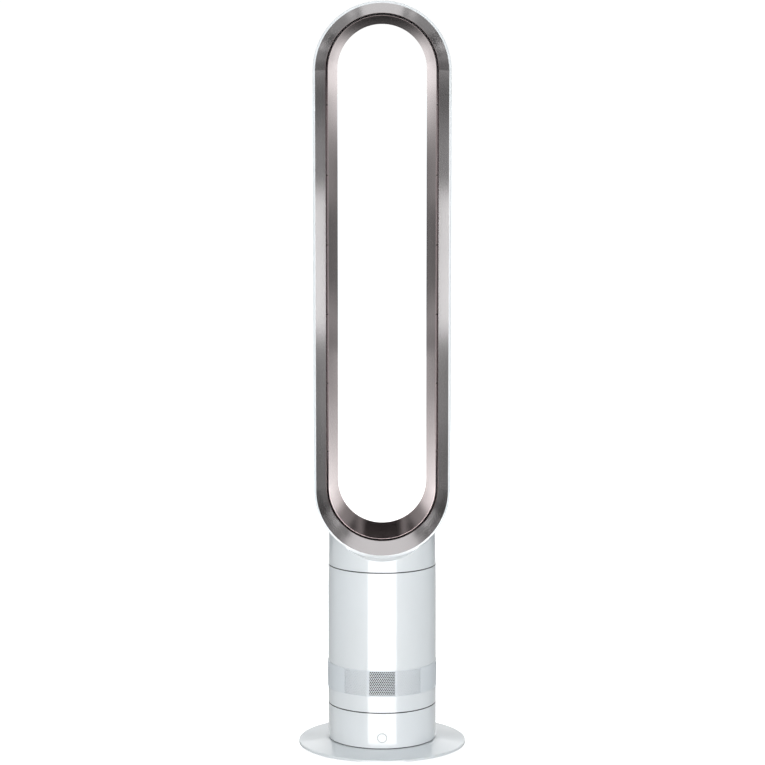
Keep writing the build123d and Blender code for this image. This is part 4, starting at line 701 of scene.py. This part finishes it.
def make_floor():
    """White floor: pure white to the camera, darkened only where the fan shades it."""
    material, bench = new_material("White floor")
    seen = bench.node("ShaderNodeLightPath", output="Is Camera Ray")
    paint = bench.node("ShaderNodeBsdfDiffuse", inputs={"Color": (*FLOOR_COLOUR, 1)})
    place = bench.node("ShaderNodeTexCoord", output="Object")
    away = bench.node("ShaderNodeVectorMath", {"operation": "LENGTH"}, {0: place}, "Value")
    own_light = bench.node("ShaderNodeMapRange", {"interpolation_type": "SMOOTHSTEP"}, {
        "Value": away, "From Min": NEAR_FAN, "From Max": FAR_FROM_FAN,
        "To Min": NEAR_LIGHT, "To Max": FAR_LIGHT})
    light = bench.node("ShaderNodeEmission", inputs={"Strength": seen * own_light})
    both = bench.node("ShaderNodeAddShader", inputs={0: paint, 1: light})
    bench.node("ShaderNodeOutputMaterial", inputs={"Surface": both})
    half = FLOOR_HALF
    floor = staged_sheet("floor", material, [
        (-half, -half, 0), (half, -half, 0), (half, half, 0), (-half, half, 0)])
    floor.visible_glossy = False


def make_world():
    """White background; the fan itself is lit by a plain low level of it."""
    world = bpy.data.worlds.new("Studio")
    bpy.context.scene.world = world
    world.use_nodes = True
    world.node_tree.nodes.clear()
    bench = Bench(world.node_tree)
    camera = bench.node("ShaderNodeLightPath", output="Is Camera Ray")
    mirrored = reckon("MAXIMUM", camera, camera.output("Is Glossy Ray"))
    seen = reckon("MAXIMUM", mirrored, camera.output("Is Transmission Ray"))
    light = bench.node("ShaderNodeBackground", inputs={
        "Color": mixed(bench, seen, SHADE, (1, 1, 1)),
        "Strength": seen * (BACKGROUND - AMBIENT) + AMBIENT})
    bench.node("ShaderNodeOutputWorld", inputs={"Surface": light})


def make_board():
    """Board behind the fan with brighter and darker fields for the metal to mirror."""
    material, bench = new_material("Reflected board")
    across, _, up = axes(bench.node("ShaderNodeTexCoord", output="Object"))
    aside = reckon("ABSOLUTE", across)
    level = BOARD_LIGHT
    for left, right, low, high, soft, brightness in FIELDS:
        mask = field_mask(aside, left, right, soft) * field_mask(up, low, high, soft)
        level = level + (brightness - level) * mask
    light = bench.node("ShaderNodeEmission", inputs={"Strength": level})
    clear = bench.node("ShaderNodeBsdfTransparent")
    back = bench.node("ShaderNodeNewGeometry", output="Backfacing")
    both = bench.node("ShaderNodeMixShader", inputs={0: back, 1: light, 2: clear})
    bench.node("ShaderNodeOutputMaterial", inputs={"Surface": both})
    mirrored_sheet("board", material, BOARD_HALF, BOARD_DEPTH, BOARD_LOW, BOARD_HIGH)


def make_card():
    """Low card in front, for the bright strip that the column mirrors."""
    material, bench = new_material("Card")
    light = bench.node("ShaderNodeEmission", inputs={"Strength": CARD_LIGHT})
    bench.node("ShaderNodeOutputMaterial", inputs={"Surface": light})
    mirrored_sheet("card", material, CARD_HALF, CARD_DEPTH, CARD_LOW, CARD_HIGH)


def make_softbox(name, place, aim, width, height, power):
    """A soft lamp that no camera or reflection sees."""
    lamp = bpy.data.lights.new(name, "AREA")
    lamp.shape = "RECTANGLE"
    lamp.size, lamp.size_y = width * MM, height * MM
    lamp.energy = power
    box = bpy.data.objects.new(name, lamp)
    bpy.context.scene.collection.objects.link(box)
    box.location = Vector(place) * MM
    box.rotation_euler = (Vector(aim) - Vector(place)).to_track_quat("-Z", "Y").to_euler()
    box.visible_camera = box.visible_glossy = False


def make_camera():
    """Long lens well in front, looking a little down."""
    lens = bpy.data.cameras.new("Camera")
    lens.sensor_width, lens.lens = SENSOR, LENS
    lens.clip_end = SEEN_REACH
    camera = bpy.data.objects.new("Camera", lens)
    bpy.context.scene.collection.objects.link(camera)
    camera.location = Vector(EYE) * MM
    camera.rotation_euler = (pi / 2 - LOOK_DOWN, 0, 0)
    bpy.context.scene.camera = camera


make_floor()
make_world()
make_board()
make_card()
make_softbox("Front softbox", (0, -2600, 900), aim=(0, 0, 550), width=1500, height=1500, power=46)
make_softbox("Top softbox", (0, -300, 2400), aim=(0, 0, 500), width=2400, height=2000, power=13)
make_softbox("Back softbox", (0, 2000, 1600), aim=(0, 0, 300), width=1600, height=1200, power=50)
make_camera()
bpy.context.scene.view_settings.view_transform = "Standard"
